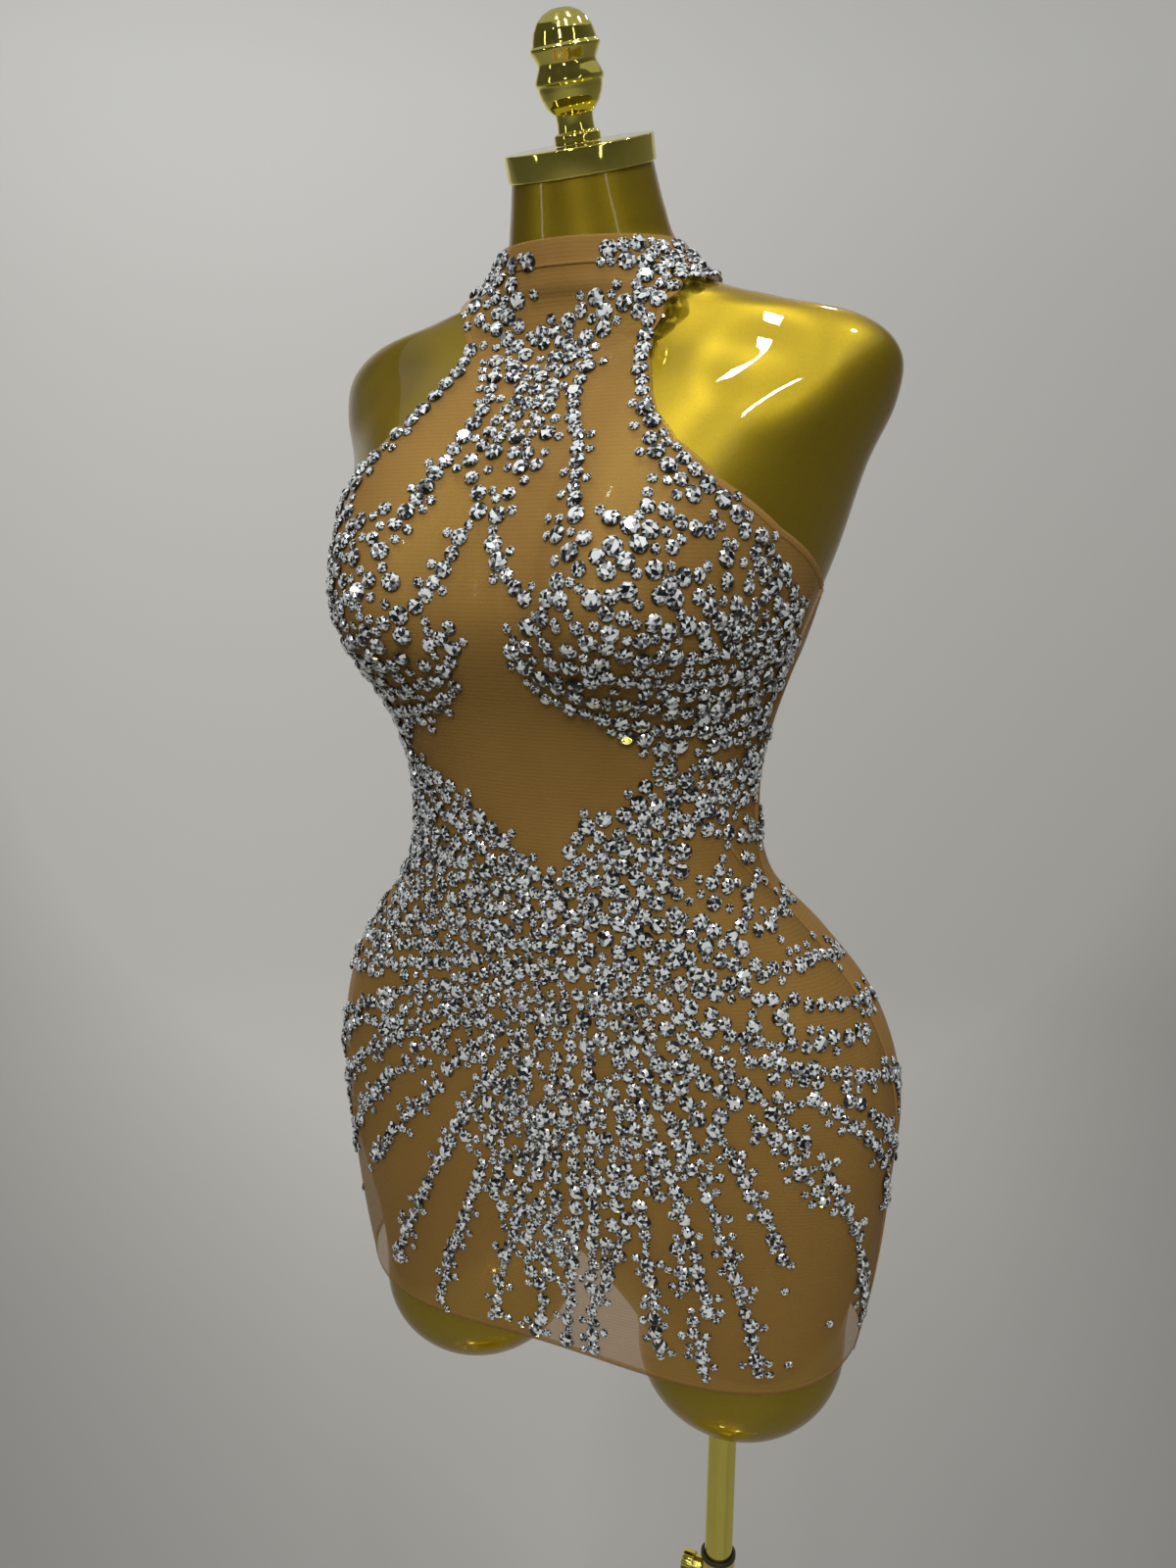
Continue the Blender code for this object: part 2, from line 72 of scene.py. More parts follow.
# Rows of the form's skin, bottom to top: height, half width, front and back depth, centre line,
# tilt in degrees and squareness.
BODY_ROWS = np.array((
    (0.010, 0.166, 0.078, 0.104, 0.036, 0, 2.30),
    (0.050, 0.176, 0.084, 0.112, 0.036, 0, 2.35),
    (0.100, 0.185, 0.090, 0.120, 0.036, 0, 2.35),
    (0.155, 0.190, 0.094, 0.128, 0.034, 0, 2.35),
    (0.215, 0.193, 0.096, 0.138, 0.032, 0, 2.30),
    (0.270, 0.178, 0.092, 0.130, 0.024, 0, 2.25),
    (0.316, 0.147, 0.086, 0.106, 0.014, 0, 2.20),
    (0.356, 0.116, 0.080, 0.076, 0.002, 0, 2.15),
    (0.400, 0.108, 0.080, 0.065, -0.004, 0, 2.15),
    (0.445, 0.114, 0.086, 0.067, -0.008, 0, 2.15),
    (0.500, 0.132, 0.094, 0.076, -0.008, 0, 2.20),
    (0.550, 0.148, 0.100, 0.078, 0.004, 0, 2.25),
    (0.598, 0.160, 0.100, 0.072, 0.016, 0, 2.30),
    (0.632, 0.174, 0.086, 0.066, 0.020, 0, 2.40),
    (0.658, 0.176, 0.064, 0.056, 0.018, 0, 2.30),
    (0.676, 0.156, 0.050, 0.046, 0.014, 0, 2.15),
    (0.688, 0.112, 0.044, 0.042, 0.008, 4, 2.05),
    (0.700, 0.073, 0.046, 0.044, 0.003, 8, 2.00),
    (0.720, 0.0515, 0.046, 0.042, -0.004, 14, 2.00),
    (0.738, 0.0450, 0.043, 0.042, -0.011, 18, 2.00),
    (0.759, 0.0405, 0.041, 0.041, -0.018, 23, 2.00),
))
TOP_STATION = len(BODY_ROWS) - 1

# Turned pieces show an edge where their faces meet at more than this.
SHARP_ANGLE = math.radians(38)
# Steps round a turned piece.
TURNED_SIDES = 96


def world(points: Array) -> Array:
    """Move points from the form's frame to the world.

    Args:
        points: positions in the form's frame, last axis x, y, z.

    Returns:
        The same positions in world coordinates.
    """
    return points + np.array((0.0, FORM_Y, FORM_LIFT))


def spline(values: Array, station: Array) -> Array:
    """Catmull-Rom curve through one value a station, its end slopes carried on.

    Args:
        values: one value for each whole station.
        station: places along the curve.

    Returns:
        The curve's value at each place: a cubic of the share between two stations.
    """
    last = len(values) - 1
    at = np.clip(station, 0, last - 1e-9)
    low = at.astype(int)
    share = at - low
    start = values[low]
    end = values[low + 1]
    before = np.where(low == 0, 2 * start - end, values[np.maximum(low - 1, 0)])
    after = np.where(low == last - 1, 2 * end - start, values[np.minimum(low + 2, last)])
    straight = (end - before) * share
    bend = (2 * before - 5 * start + 4 * end - after) * share ** 2
    twist = (3 * start - before - 3 * end + after) * share ** 3
    return start + 0.5 * (straight + bend + twist)


def fall(distance: Array, reach: Array, power: float) -> Array:
    """Bell curve of a distance: exp(-(distance / reach) ** power).

    Args:
        distance: distance from the bell's middle.
        reach: distance at which the bell has fallen to 1/e.
        power: 2 for a round bell, more for a flatter top.

    Returns:
        The bell's height, 1 in the middle.
    """
    return np.exp(-np.abs(distance / reach) ** power)


def smooth(share: Array) -> Array:
    """Ease from 0 to 1: 3 s squared less 2 s cubed, with s held between 0 and 1.

    Args:
        share: the straight share.

    Returns:
        The eased share.
    """
    held = np.clip(share, 0.0, 1.0)
    return held * held * (3 - 2 * held)


@dataclass(frozen=True)
class Lobe:
    """A pair of round rises on the skin, one each side of the middle, metres."""

    x: float
    height: float
    rise: float
    across: float
    up: float
    down: float
    across_power: float = 2.4
    height_power: float = 2.2

    def raise_at(self, x: Array, height: Array, span: float) -> Array:
        """Rise of the pair: a bell across times a bell up and down.

        Args:
            x: places across.
            height: places up.
            span: 0 for two bare lobes, more where cloth bridges the hollow between them.

        Returns:
            How far the skin stands out at each place.
        """
        reach = np.where(height > self.height, self.up, self.down)
        power = self.across_power
        pair = fall(x - self.x, self.across, power) + fall(x + self.x, self.across, power)
        if span:
            outside = np.maximum(np.abs(x) - self.x, 0)
            inside = np.minimum(np.abs(x) / self.x, 1)
            bridge = fall(outside, self.across, power) * (span + (1 - span) * inside ** 2)
            pair = np.maximum(pair, bridge)
        return self.rise * fall(height - self.height, reach, self.height_power) * pair


@dataclass(frozen=True)
class Skin:
    """The form's skin and the cloth over it, as functions of a station and an angle round it."""

    bust: Lobe = Lobe(x=0.076, height=0.520, rise=0.058, across=0.060, up=0.086, down=0.052)
    seat: Lobe = Lobe(x=0.074, height=0.210, rise=0.024, across=0.070, up=0.076, down=0.082)
    bust_span: float = 0.56
    throat_height: float = 0.681
    throat_rise: float = 0.010
    throat_reach: float = 0.017
    hem: float = 0.86
    hem_dip: float = 0.12
    armpit: float = 10.6
    back_drop: float = 2.2
    back_curve: float = 0.8
    collar_low: float = 17.07
    collar_high: float = 17.98
    collar_lean: float = 0.48
    edge_ease: float = 6.0

    def body(self, station: Array, angle: Array, span: float = 0.0) -> Array:
        """Skin points: a squared ellipse at each station, with the bust and seat lobes added.

        Args:
            station: place up the form, 0 at the thighs and 20 at the neck's top.
            angle: angle round it, 0 at the centre front and a quarter turn at the wearer's left.
            span: how far cloth bridges the hollow between the bust's lobes.

        Returns:
            Points in the form's frame.
        """
        height, half_width, front, back, centre, lean, square = (
            spline(BODY_ROWS[:, place], station) for place in range(BODY_ROWS.shape[1])
        )
        side = np.sin(angle)
        ahead = np.cos(angle)
        radius = (np.abs(side) ** square + np.abs(ahead) ** square) ** (-1 / square)
        depth = np.where(ahead > 0, front, back)
        tilt = np.radians(lean)
        along = -depth * radius * ahead
        x = half_width * radius * side
        y = centre + along * np.cos(tilt)
        z = height + along * np.sin(tilt)
        y = y - self.bust.raise_at(x, z, span) * np.clip(ahead, 0, 1) ** 0.5
        if span:
            throat = self.throat_rise * fall(z - self.throat_height, self.throat_reach, 2)
            y = y - throat * np.clip(ahead, 0, 1) ** 1.5
        y = y + self.seat.raise_at(x, z, 0.0) * np.clip(-ahead, 0, 1) ** 0.5
        return np.stack([x, y, z], axis=-1)

    def normal(self, station: Array, angle: Array) -> Array:
        """Outward unit normals of the cloth: the cross product of its two slopes.

        Args:
            station: places up the form.
            angle: angles round it.

        Returns:
            Unit vectors.
        """
        step = 1e-3
        span = self.bust_span
        around = self.body(station, angle + step, span) - self.body(station, angle - step, span)
        above = self.body(np.minimum(station + step, TOP_STATION), angle, span)
        across = np.cross(around, above - self.body(station - step, angle, span))
        return across / np.linalg.norm(across, axis=-1, keepdims=True)

    def cloth(self, station: Array, angle: Array, lift: Array) -> Array:
        """Cloth points: the spanned skin moved out along its own normals.

        Args:
            station: places up the form.
            angle: angles round it.
            lift: distance from the skin, metres.

        Returns:
            Points in the form's frame.
        """
        lifted = np.asarray(lift, dtype=float)
        if lifted.ndim:
            lifted = lifted[..., None]
        return self.body(station, angle, self.bust_span) + lifted * self.normal(station, angle)

    def station_at(self, height: Array) -> Array:
        """Station whose row has the given height, by reading the height curve backwards.

        Args:
            height: heights in the form's frame, metres.

        Returns:
            Stations.
        """
        fine = np.linspace(0, TOP_STATION, 801)
        return np.interp(height, spline(BODY_ROWS[:, 0], fine), fine)

    def hem_station(self, angle: Array) -> Array:
        """Station of the hem: a wave of four rounds, a little lower over each thigh."""
        return self.hem + self.hem_dip * np.cos(4 * angle)

    def back_station(self, angle: Array) -> Array:
        """Station of the open back's edge, falling from the armpits to the centre back."""
        return self.armpit - self.back_drop * np.abs(np.cos(angle)) ** self.back_curve

    def collar_station(self, angle: Array, share: Array) -> Array:
        """Station on the collar, share 0 at its lower edge and 1 at its upper edge."""
        side = self.collar_low + share * (self.collar_high - self.collar_low)
        return side + self.collar_lean * np.cos(angle)

    def armhole(self, station: Array) -> Array:
        """Half angle of the front panel: the side seam, then the armhole's curve.

        Args:
            station: places up the form.

        Returns:
            Angles in radians.
        """
        stations = (10.60, 11.15, 11.60, 12.00, 12.40, 12.80, 13.50, 14.20, 15.30, 16.50, 17.50)
        degrees = (90, 60, 43, 32.5, 26, 22.5, 19, 19, 25, 46, 70)
        return np.radians(np.interp(station, stations, degrees))


# Mesh helpers

def make_piece(name: str, mesh: bpy.types.Mesh, finish: bpy.types.Material, body: str) -> bpy.types.Object:
    """Put a mesh in the scene as a named piece that rides on a body.

    Args:
        name: the piece's name.
        mesh: its mesh, in world coordinates.
        finish: its material.
        body: the body that it rides on.

    Returns:
        The new object.
    """
    piece = bpy.data.objects.new(name, mesh)
    bpy.context.scene.collection.objects.link(piece)
    mesh.materials.clear()
    mesh.materials.append(finish)
    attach(piece, body)
    LOG.info("%s: %d faces on %s", name, len(mesh.polygons), body)
    return piece


def grid_faces(rows: int, columns: int, wrap: bool = False) -> Array:
    """Quads of a grid of points, its rows running up and its columns running round.

    Args:
        rows: count of rows.
        columns: count of columns.
        wrap: true where the last column joins the first.

    Returns:
        Four corner numbers a face.
    """
    across = np.arange(columns if wrap else columns - 1)
    low = (np.arange(rows - 1)[:, None] * columns + across).ravel()
    after = (np.arange(rows - 1)[:, None] * columns + (across + 1) % columns).ravel()
    return np.stack([low, after, after + columns, low + columns], axis=1)


def new_mesh(name: str, points: Array, faces: list, soft: bool = True) -> bpy.types.Mesh:
    """Make a mesh from points and faces.

    Args:
        name: the mesh's name.
        points: corner positions, any shape with x, y, z last.
        faces: corner numbers of each face.
        soft: true for smooth shading.

    Returns:
        The mesh.
    """
    mesh = bpy.data.meshes.new(name)
    mesh.from_pydata(points.reshape(-1, 3).tolist(), [], [list(face) for face in faces])
    if soft:
        mesh.shade_smooth()
    return mesh


def close_mesh(mesh: bpy.types.Mesh, merge: float = 1e-6) -> bpy.types.Mesh:
    """Merge a closed mesh's doubled corners and turn its faces outward.

    Args:
        mesh: the mesh.
        merge: distance below which corners are one, metres.

    Returns:
        The same mesh.
    """
    work = bmesh.new()
    work.from_mesh(mesh)
    bmesh.ops.remove_doubles(work, verts=work.verts, dist=merge)
    bmesh.ops.recalc_face_normals(work, faces=work.faces)
    work.to_mesh(mesh)
    work.free()
    return mesh


def turned_points(outline: Array, sides: int, ripple: Array | None = None) -> Array:
    """Rows of points round an axis, one row for each (radius, height) pair of an outline.

    Args:
        outline: (radius, height) pairs.
        sides: steps round.
        ripple: a factor on the radius for each row and step.

    Returns:
        Points, one row for each pair and one column for each step.
    """
    angle = steps_round(sides)
    radius = outline[:, :1] * (np.ones((1, sides)) if ripple is None else ripple)
    x = radius * np.cos(angle)
    y = radius * np.sin(angle)
    return np.stack([x, y, np.broadcast_to(outline[:, 1:], x.shape)], axis=-1)


def turned_mesh(name: str, profile: Array, sides: int, turn: Matrix,
                ripple: Array | None = None) -> bpy.types.Mesh:
    """Turn a closed outline about its axis: radius times cosine and sine of the angle round.

    Args:
        name: the mesh's name.
        profile: (radius, height) pairs from pole to pole, or a closed loop where no radius is 0.
        sides: steps round.
        turn: matrix that carries the turned shape to its place.
        ripple: a factor on the radius for each row and step, for knurls and lobes.

    Returns:
        A closed mesh.
    """
    outline = np.asarray(profile, dtype=float)
    if outline[0, 0] > 0:
        outline = np.vstack([outline, outline[:1]])
    mesh = new_mesh(name, carried(turned_points(outline, sides, ripple), turn),
                    grid_faces(len(outline), sides, wrap=True))
    close_mesh(mesh)
    mesh.set_sharp_from_angle(angle=SHARP_ANGLE)
    return mesh


def rounded(profile: tuple, radius: float, steps: int = 4) -> Array:
    """Round an outline's inner corners with short quadratic curves.

    Args:
        profile: (radius, height) pairs.
        radius: how far from each corner the curve starts, metres.
        steps: points along each curve.

    Returns:
        The outline with its corners rounded.
    """
    points = np.asarray(profile, dtype=float)
    result = [points[0]]
    share = np.linspace(0, 1, steps + 1)[:, None]
    for before, corner, after in zip(points, points[1:], points[2:]):
        back, on = before - corner, after - corner
        cut = min(radius, 0.45 * np.linalg.norm(back), 0.45 * np.linalg.norm(on))
        start = corner + back * cut / np.linalg.norm(back)
        end = corner + on * cut / np.linalg.norm(on)
        result.extend((1 - share) ** 2 * start + 2 * share * (1 - share) * corner + share ** 2 * end)
    result.append(points[-1])
    return np.array(result)


def carried(points: Array, turn: Matrix) -> Array:
    """Points in rows of x, y, z, carried by a matrix."""
    matrix = np.array(turn)
    return points.reshape(-1, 3) @ matrix[:3, :3].T + matrix[:3, 3]


def steps_round(count: int) -> Array:
    """Angles of equal steps round a circle, from 0."""
    return np.arange(count) * 2 * math.pi / count


def travelled(line: Array) -> Array:
    """How far along a line of points each one is."""
    return np.concatenate([[0], np.cumsum(np.linalg.norm(np.diff(line, axis=0), axis=-1))])


def add_uv(mesh: bpy.types.Mesh, pairs: Array) -> None:
    """Give a mesh a UV map from one pair a corner point.

    Args:
        mesh: the mesh, its points in the order of the pairs.
        pairs: u and v of each point, in metres on the cloth.
    """
    layer = mesh.uv_layers.new(name="cloth")
    corners = np.empty(len(mesh.loops), dtype=np.int32)
    mesh.loops.foreach_get("vertex_index", corners)
    layer.data.foreach_set("uv", pairs.reshape(-1, 2)[corners].astype(np.float32).ravel())


def add_wall(piece: bpy.types.Object, thickness: float) -> None:
    """Give an open sheet its thickness, outwards, with its rims closed.

    Args:
        piece: the sheet.
        thickness: its thickness, metres.
    """
    wall = piece.modifiers.new("wall", "SOLIDIFY")
    wall.thickness = thickness
    wall.offset = 1.0


def apply_modifiers(piece: bpy.types.Object) -> None:
    """Replace a piece's mesh by its evaluated one.

    Args:
        piece: the piece.
    """
    graph = bpy.context.evaluated_depsgraph_get()
    mesh = bpy.data.meshes.new_from_object(piece.evaluated_get(graph))
    piece.modifiers.clear()
    piece.data = mesh


# Finishes

class Surface:
    """A node material under construction: its shader and short ways to add nodes."""

    def __init__(self, name: str) -> None:
        """Start a material with one Principled shader.

        Args:
            name: the material's name.
        """
        self.material = bpy.data.materials.new(name)
        self.material.use_nodes = True
        self.tree = self.material.node_tree
        self.shader = self.tree.nodes["Principled BSDF"]

    def feed(self, socket: bpy.types.NodeSocket, source: object) -> None:
        """Give a socket a fixed value, or join another node's output to it.

        Args:
            socket: the input.
            source: a number, a tuple or an output.
        """
        if isinstance(source, bpy.types.NodeSocket):
            self.tree.links.new(source, socket)
        else:
            socket.default_value = source

    def set(self, **values: object) -> None:
        """Feed the shader's sockets; an underscore in a name stands for a space."""
        for name, value in values.items():
            self.feed(self.shader.inputs[name.replace("_", " ")], value)

    def add(self, kind: str, **values: object) -> bpy.types.Node:
        """Add a node, and set its properties or feed its sockets.

        Args:
            kind: the node's type.
            values: properties by name, or sockets by name with underscores for spaces.

        Returns:
            The node.
        """
        node = self.tree.nodes.new(f"ShaderNode{kind}")
        for name, value in values.items():
            if hasattr(node, name):
                setattr(node, name, value)
            else:
                self.feed(node.inputs[name.replace("_", " ")], value)
        return node

    def place(self) -> bpy.types.NodeSocket:
        """The shaded point's place in the piece's own frame."""
        return self.add("TexCoord").outputs["Object"]

    def work(self, kind: str, operation: str, *operands: object) -> bpy.types.NodeSocket:
        """Work out one operation on outputs or fixed values.

        Args:
            kind: Math or VectorMath.
            operation: the operation's name.
            operands: what it works on, in order.

        Returns:
            The result, a number.
        """
        node = self.add(kind, operation=operation)
        for socket, source in zip(node.inputs, operands):
            self.feed(socket, source)
        return node.outputs["Value"]

    def mixed(self, share: object, first: object, second: object,
              colours: bool = False) -> bpy.types.NodeSocket:
        """Mix two values or two colours.

        Args:
            share: the second one's share.
            first: the one that a share of 0 gives.
            second: the one that a share of 1 gives.
            colours: true for colours.

        Returns:
            The mixture's output.
        """
        node = self.add("Mix", data_type="RGBA" if colours else "FLOAT")
        for number, source in zip((0, 6, 7) if colours else (0, 2, 3), (share, first, second)):
            self.feed(node.inputs[number], source)
        return node.outputs[2 if colours else 0]

    def ramp(self, source: bpy.types.NodeSocket, stops: tuple) -> bpy.types.NodeSocket:
        """Map a value to colours.

        Args:
            source: the value.
            stops: (place, (red, green, blue)) pairs in order.

        Returns:
            The colour output.
        """
        node = self.add("ValToRGB", Fac=source)
        bar = node.color_ramp
        while len(bar.elements) < len(stops):
            bar.elements.new(0.5)
        for element, (place, colour) in zip(bar.elements, stops):
            element.position = place
            element.color = (*colour, 1.0)
        return node.outputs["Color"]

    def spread(self, source: bpy.types.NodeSocket, low: float, high: float) -> bpy.types.NodeSocket:
        """Map a value from 0..1 to low..high."""
        return self.add("MapRange", Value=source, To_Min=low, To_Max=high).outputs["Result"]

    def bump(self, source: bpy.types.NodeSocket, strength: float, distance: float,
             under: bpy.types.NodeSocket | None = None) -> bpy.types.NodeSocket:
        """Press a pattern into the surface.

        Args:
            source: the pattern's height.
            strength: share of the effect.
            distance: the relief's depth, metres; below 0 it is a hollow.
            under: the relief that this one lies on.

        Returns:
            The bent normal.
        """
        node = self.add("Bump", Height=source, Strength=strength, Distance=distance)
        if under is not None:
            self.feed(node.inputs["Normal"], under)
        self.set(Normal=node.outputs["Normal"])
        return node.outputs["Normal"]


@dataclass(frozen=True)
class GoldLacquer:
    """Pearl gold lacquer: a flaked metallic coat under a thick clear gloss."""

    deep: tuple = (0.38, 0.265, 0.012)
    light: tuple = (0.56, 0.41, 0.030)
    roughness: tuple = (0.40, 0.47)
    flake: float = 2600.0
    flake_relief: tuple = (0.04, 0.0001)
    cloud: float = 5.0
    cloud_share: float = 0.65
    hollow_place: tuple = (0.118, -0.066, 1.362)
    hollow_radius: float = 0.046
    hollow_depth: float = 0.0045

    def hollow(self, surface: Surface, place: bpy.types.NodeSocket) -> bpy.types.NodeSocket:
        """The soft dish below each collarbone: a round fall from 1 at its middle to 0 at its rim.

        Args:
            surface: the material under construction.
            place: the shaded point's place.

        Returns:
            The dish's depth, 0 to 1.
        """
        parts = surface.add("SeparateXYZ", Vector=place).outputs
        aside = surface.work("Math", "ABSOLUTE", parts["X"])
        joined = surface.add("CombineXYZ", X=aside, Y=parts["Y"], Z=parts["Z"]).outputs["Vector"]
        offset = tuple(-value / self.hollow_radius for value in self.hollow_place)
        scale = (1 / self.hollow_radius,) * 3
        ball = surface.add("Mapping", Vector=joined, Location=offset, Scale=scale)
        fade = surface.add("TexGradient", gradient_type="SPHERICAL", Vector=ball.outputs["Vector"])
        soft = surface.add("MapRange", interpolation_type="SMOOTHERSTEP", Value=fade.outputs["Fac"])
        return soft.outputs["Result"]

    def make(self) -> bpy.types.Material:
        """Build the material.

        Returns:
            The material.
        """
        surface = Surface("gold_lacquer")
        place = surface.place()
        flakes = surface.add("TexVoronoi", Vector=place, Scale=self.flake).outputs
        cloud = surface.add("TexNoise", Vector=place, Scale=self.cloud, Detail=3.0).outputs["Fac"]
        tone = surface.mixed(self.cloud_share, flakes["Color"], cloud)
        dish = surface.bump(self.hollow(surface, place), 1.0, -self.hollow_depth)
        surface.bump(flakes["Distance"], *self.flake_relief, dish)
        surface.set(Base_Color=surface.ramp(tone, ((0.2, self.deep), (0.8, self.light))),
                    Roughness=surface.spread(cloud, *self.roughness), Metallic=0.9, Coat_Weight=0.8,
                    Coat_Roughness=0.015, Coat_IOR=1.42, Specular_Tint=(0.55, 0.38, 0.08, 1.0))
        return surface.material


@dataclass(frozen=True)
class GoldPlate:
    """Polished plated metal with faint lengthwise polishing marks."""

    colour: tuple = (0.96, 0.84, 0.19)
    shade: tuple = (0.88, 0.75, 0.15)
    roughness: tuple = (0.05, 0.10)
    stretch: tuple = (60.0, 60.0, 3.0)

    def make(self) -> bpy.types.Material:
        """Build the material.

        Returns:
            The material.
        """
        surface = Surface("gold_plate")
        place = surface.add("Mapping", Vector=surface.place(), Scale=self.stretch).outputs["Vector"]
        marks = surface.add("TexNoise", Vector=place, Scale=12.0, Detail=5.0).outputs["Fac"]
        surface.set(Base_Color=surface.ramp(marks, ((0.3, self.shade), (0.7, self.colour))),
                    Roughness=surface.spread(marks, *self.roughness), Metallic=1.0)
        return surface.material


@dataclass(frozen=True)
class SheerMesh:
    """Nude power mesh: see-through, with fine cross ribs and a soft bloom at grazing angles."""

    name: str
    colour: tuple
    shade: tuple
    cover: float
    cover_spread: float = 0.08
    rib_scale: float = 0.3142 / 0.0022
    relief: tuple = (0.25, 0.0003)

    def make(self) -> bpy.types.Material:
        """Build the material: ribs and threads, half each, set the cover and the relief.

        Returns:
            The material.
        """
        surface = Surface(self.name)
        uv = surface.add("UVMap", uv_map="cloth").outputs["UV"]
        ribs = surface.add("TexWave", bands_direction="Y", Vector=uv, Scale=self.rib_scale,
                           Distortion=0.6, Detail=1.0).outputs["Fac"]
        threads = surface.add("TexNoise", Vector=uv, Scale=900.0, Detail=2.0).outputs["Fac"]
        cloud = surface.add("TexNoise", Vector=uv, Scale=18.0, Detail=3.0).outputs["Fac"]
        weave = surface.mixed(0.5, ribs, threads)
        surface.bump(weave, *self.relief)
        surface.set(Base_Color=surface.ramp(cloud, ((0.3, self.shade), (0.7, self.colour))),
                    Alpha=surface.spread(weave, self.cover - self.cover_spread,
                                         self.cover + self.cover_spread),
                    Roughness=0.62, Specular_IOR_Level=0.25, Sheen_Weight=0.06, Sheen_Roughness=0.35,
                    Sheen_Tint=(0.80, 0.55, 0.38, 1.0))
        return surface.material


@dataclass(frozen=True)
class Crystal:
    """Foiled cut glass under a hard clear gloss, with its sparkle painted: each face of the cut takes a
    painted tone, white for a painted reflection of a light, near black for painted dark reflections and
    painted shade.
    """

    # Painted glints: cells of random tone mixed into each face's painted light value.
    painted_glint_scale: float = 900.0
    painted_glint_share: float = 0.22
    # Painted light: stops from near black painted shade and dark reflections to white painted reflections
    # of lights.
    painted_light_greys: tuple = (
        (0.16, (0.005, 0.006, 0.007)),
        (0.34, (0.050, 0.055, 0.056)),
        (0.46, (0.22, 0.23, 0.23)),
        (0.58, (0.56, 0.59, 0.585)),
        (0.74, (0.96, 1.0, 0.99)),
    )

    def make(self) -> bpy.types.Material:
        """Build the material.

        Returns:
            The material.
        """
        surface = Surface("crystal")
        painted_facet_light = surface.add("Attribute", attribute_name="painted_facet_light").outputs["Fac"]
        painted_glints = surface.add("TexVoronoi", Vector=surface.place(), Scale=self.painted_glint_scale).outputs["Color"]
        # Each face's painted light value, with painted glints mixed in.
        grey = surface.mixed(self.painted_glint_share, painted_facet_light, painted_glints)
        surface.set(Base_Color=surface.ramp(grey, self.painted_light_greys), Metallic=0.35, Roughness=0.10,
                    Coat_Weight=0.6, Coat_Roughness=0.02, Coat_IOR=1.6)
        return surface.material


@dataclass(frozen=True)
class Plain:
    """A smooth moulded finish with a faint mottle in its colour and gloss."""

    name: str
    colour: tuple
    shade: tuple
    roughness: float
    coat: float = 0.0

    def make(self) -> bpy.types.Material:
        """Build the material.

        Returns:
            The material.
        """
        surface = Surface(self.name)
        place = surface.place()
        mottle = surface.add("TexNoise", Vector=place, Scale=60.0, Detail=4.0).outputs["Fac"]
        surface.set(Base_Color=surface.ramp(mottle, ((0.35, self.shade), (0.65, self.colour))),
                    Roughness=surface.spread(mottle, self.roughness, self.roughness + 0.08),
                    Coat_Weight=self.coat, Coat_Roughness=0.08)
        return surface.material


@dataclass(frozen=True)
class Backdrop:
    """Matt paper with painted light and shade: paler up the wall behind the object than at the floor, and
    painted dim on the camera's side of the room.
    """

    # Painted light from above: the floor's tone, ramped with height to the paler wall's tone.
    floor: tuple = (0.46, 0.45, 0.42)
    wall: tuple = (0.66, 0.655, 0.63)
    # Painted shade: the tone on the camera's side of the room, which darkens its reflections in the gold.
    dim: tuple = (0.26, 0.255, 0.24)
    wall_height: float = 3.6
    wedge: float = 1.15
    fade: tuple = (-0.3, 1.2)

    def make(self, azimuth: float) -> bpy.types.Material:
        """Build the material: pale inside a wedge that opens away from the camera, painted dim shade
        outside it, and paler with height as painted light from above.

        Args:
            azimuth: the camera's bearing from the front, radians.

        Returns:
            The material.
        """
        surface = Surface("backdrop_paper")
        place = surface.place()
        height = surface.add("SeparateXYZ", Vector=place).outputs["Z"]
        # Painted light: darker at the floor, paler up the wall.
        rise = surface.add("MapRange", Value=height, From_Max=self.wall_height).outputs["Result"]
        paper = surface.ramp(rise, ((0.0, self.floor), (1.0, self.wall)))
        # Painted shade outside the wedge that opens away from the camera.
        side, ahead = math.sin(azimuth), math.cos(azimuth)
        away = surface.work("VectorMath", "DOT_PRODUCT", place, (-side, ahead, 0.0))
        across = surface.work("VectorMath", "DOT_PRODUCT", place, (ahead, side, 0.0))
        width = surface.work("Math", "ABSOLUTE", across)
        inside = surface.work("Math", "MULTIPLY_ADD", width, -self.wedge, away)
        share = surface.add("MapRange", Value=inside, From_Min=self.fade[0], From_Max=self.fade[1])
        surface.set(Base_Color=surface.mixed(share.outputs["Result"], (*self.dim, 1.0), paper, True),
                    Roughness=0.85)
        return surface.material


@dataclass(frozen=True)
class Finishes:
    """Every finish of the object, made once."""

    lacquer: bpy.types.Material
    plate: bpy.types.Material
    dark_ring: bpy.types.Material
    mesh: bpy.types.Material
    back_mesh: bpy.types.Material
    double_mesh: bpy.types.Material
    thread: bpy.types.Material
    crystal: bpy.types.Material
    pearl: bpy.types.Material

    @classmethod
    def make_all(cls) -> "Finishes":
        """Build all the materials.

        Returns:
            The set of materials.
        """
        nude = ((0.41, 0.228, 0.060), (0.37, 0.203, 0.051))
        doubled = ((0.43, 0.240, 0.066), (0.39, 0.214, 0.056))
        return cls(
            lacquer=GoldLacquer().make(),
            plate=GoldPlate().make(),
            dark_ring=Plain("dark_ring", (0.035, 0.030, 0.022), (0.020, 0.018, 0.014), 0.42).make(),
            mesh=SheerMesh("sheer_mesh", *nude, cover=0.44).make(),
            back_mesh=SheerMesh("back_mesh", *nude, cover=0.76).make(),
            double_mesh=SheerMesh("doubled_mesh", *doubled, cover=0.52).make(),
            thread=Plain("sewing_thread", (0.30, 0.18, 0.09), (0.24, 0.14, 0.07), 0.6).make(),
            crystal=Crystal().make(),
            pearl=Plain("pearl", (0.86, 0.83, 0.77), (0.80, 0.75, 0.70), 0.16, coat=0.6).make(),
        )


# The form

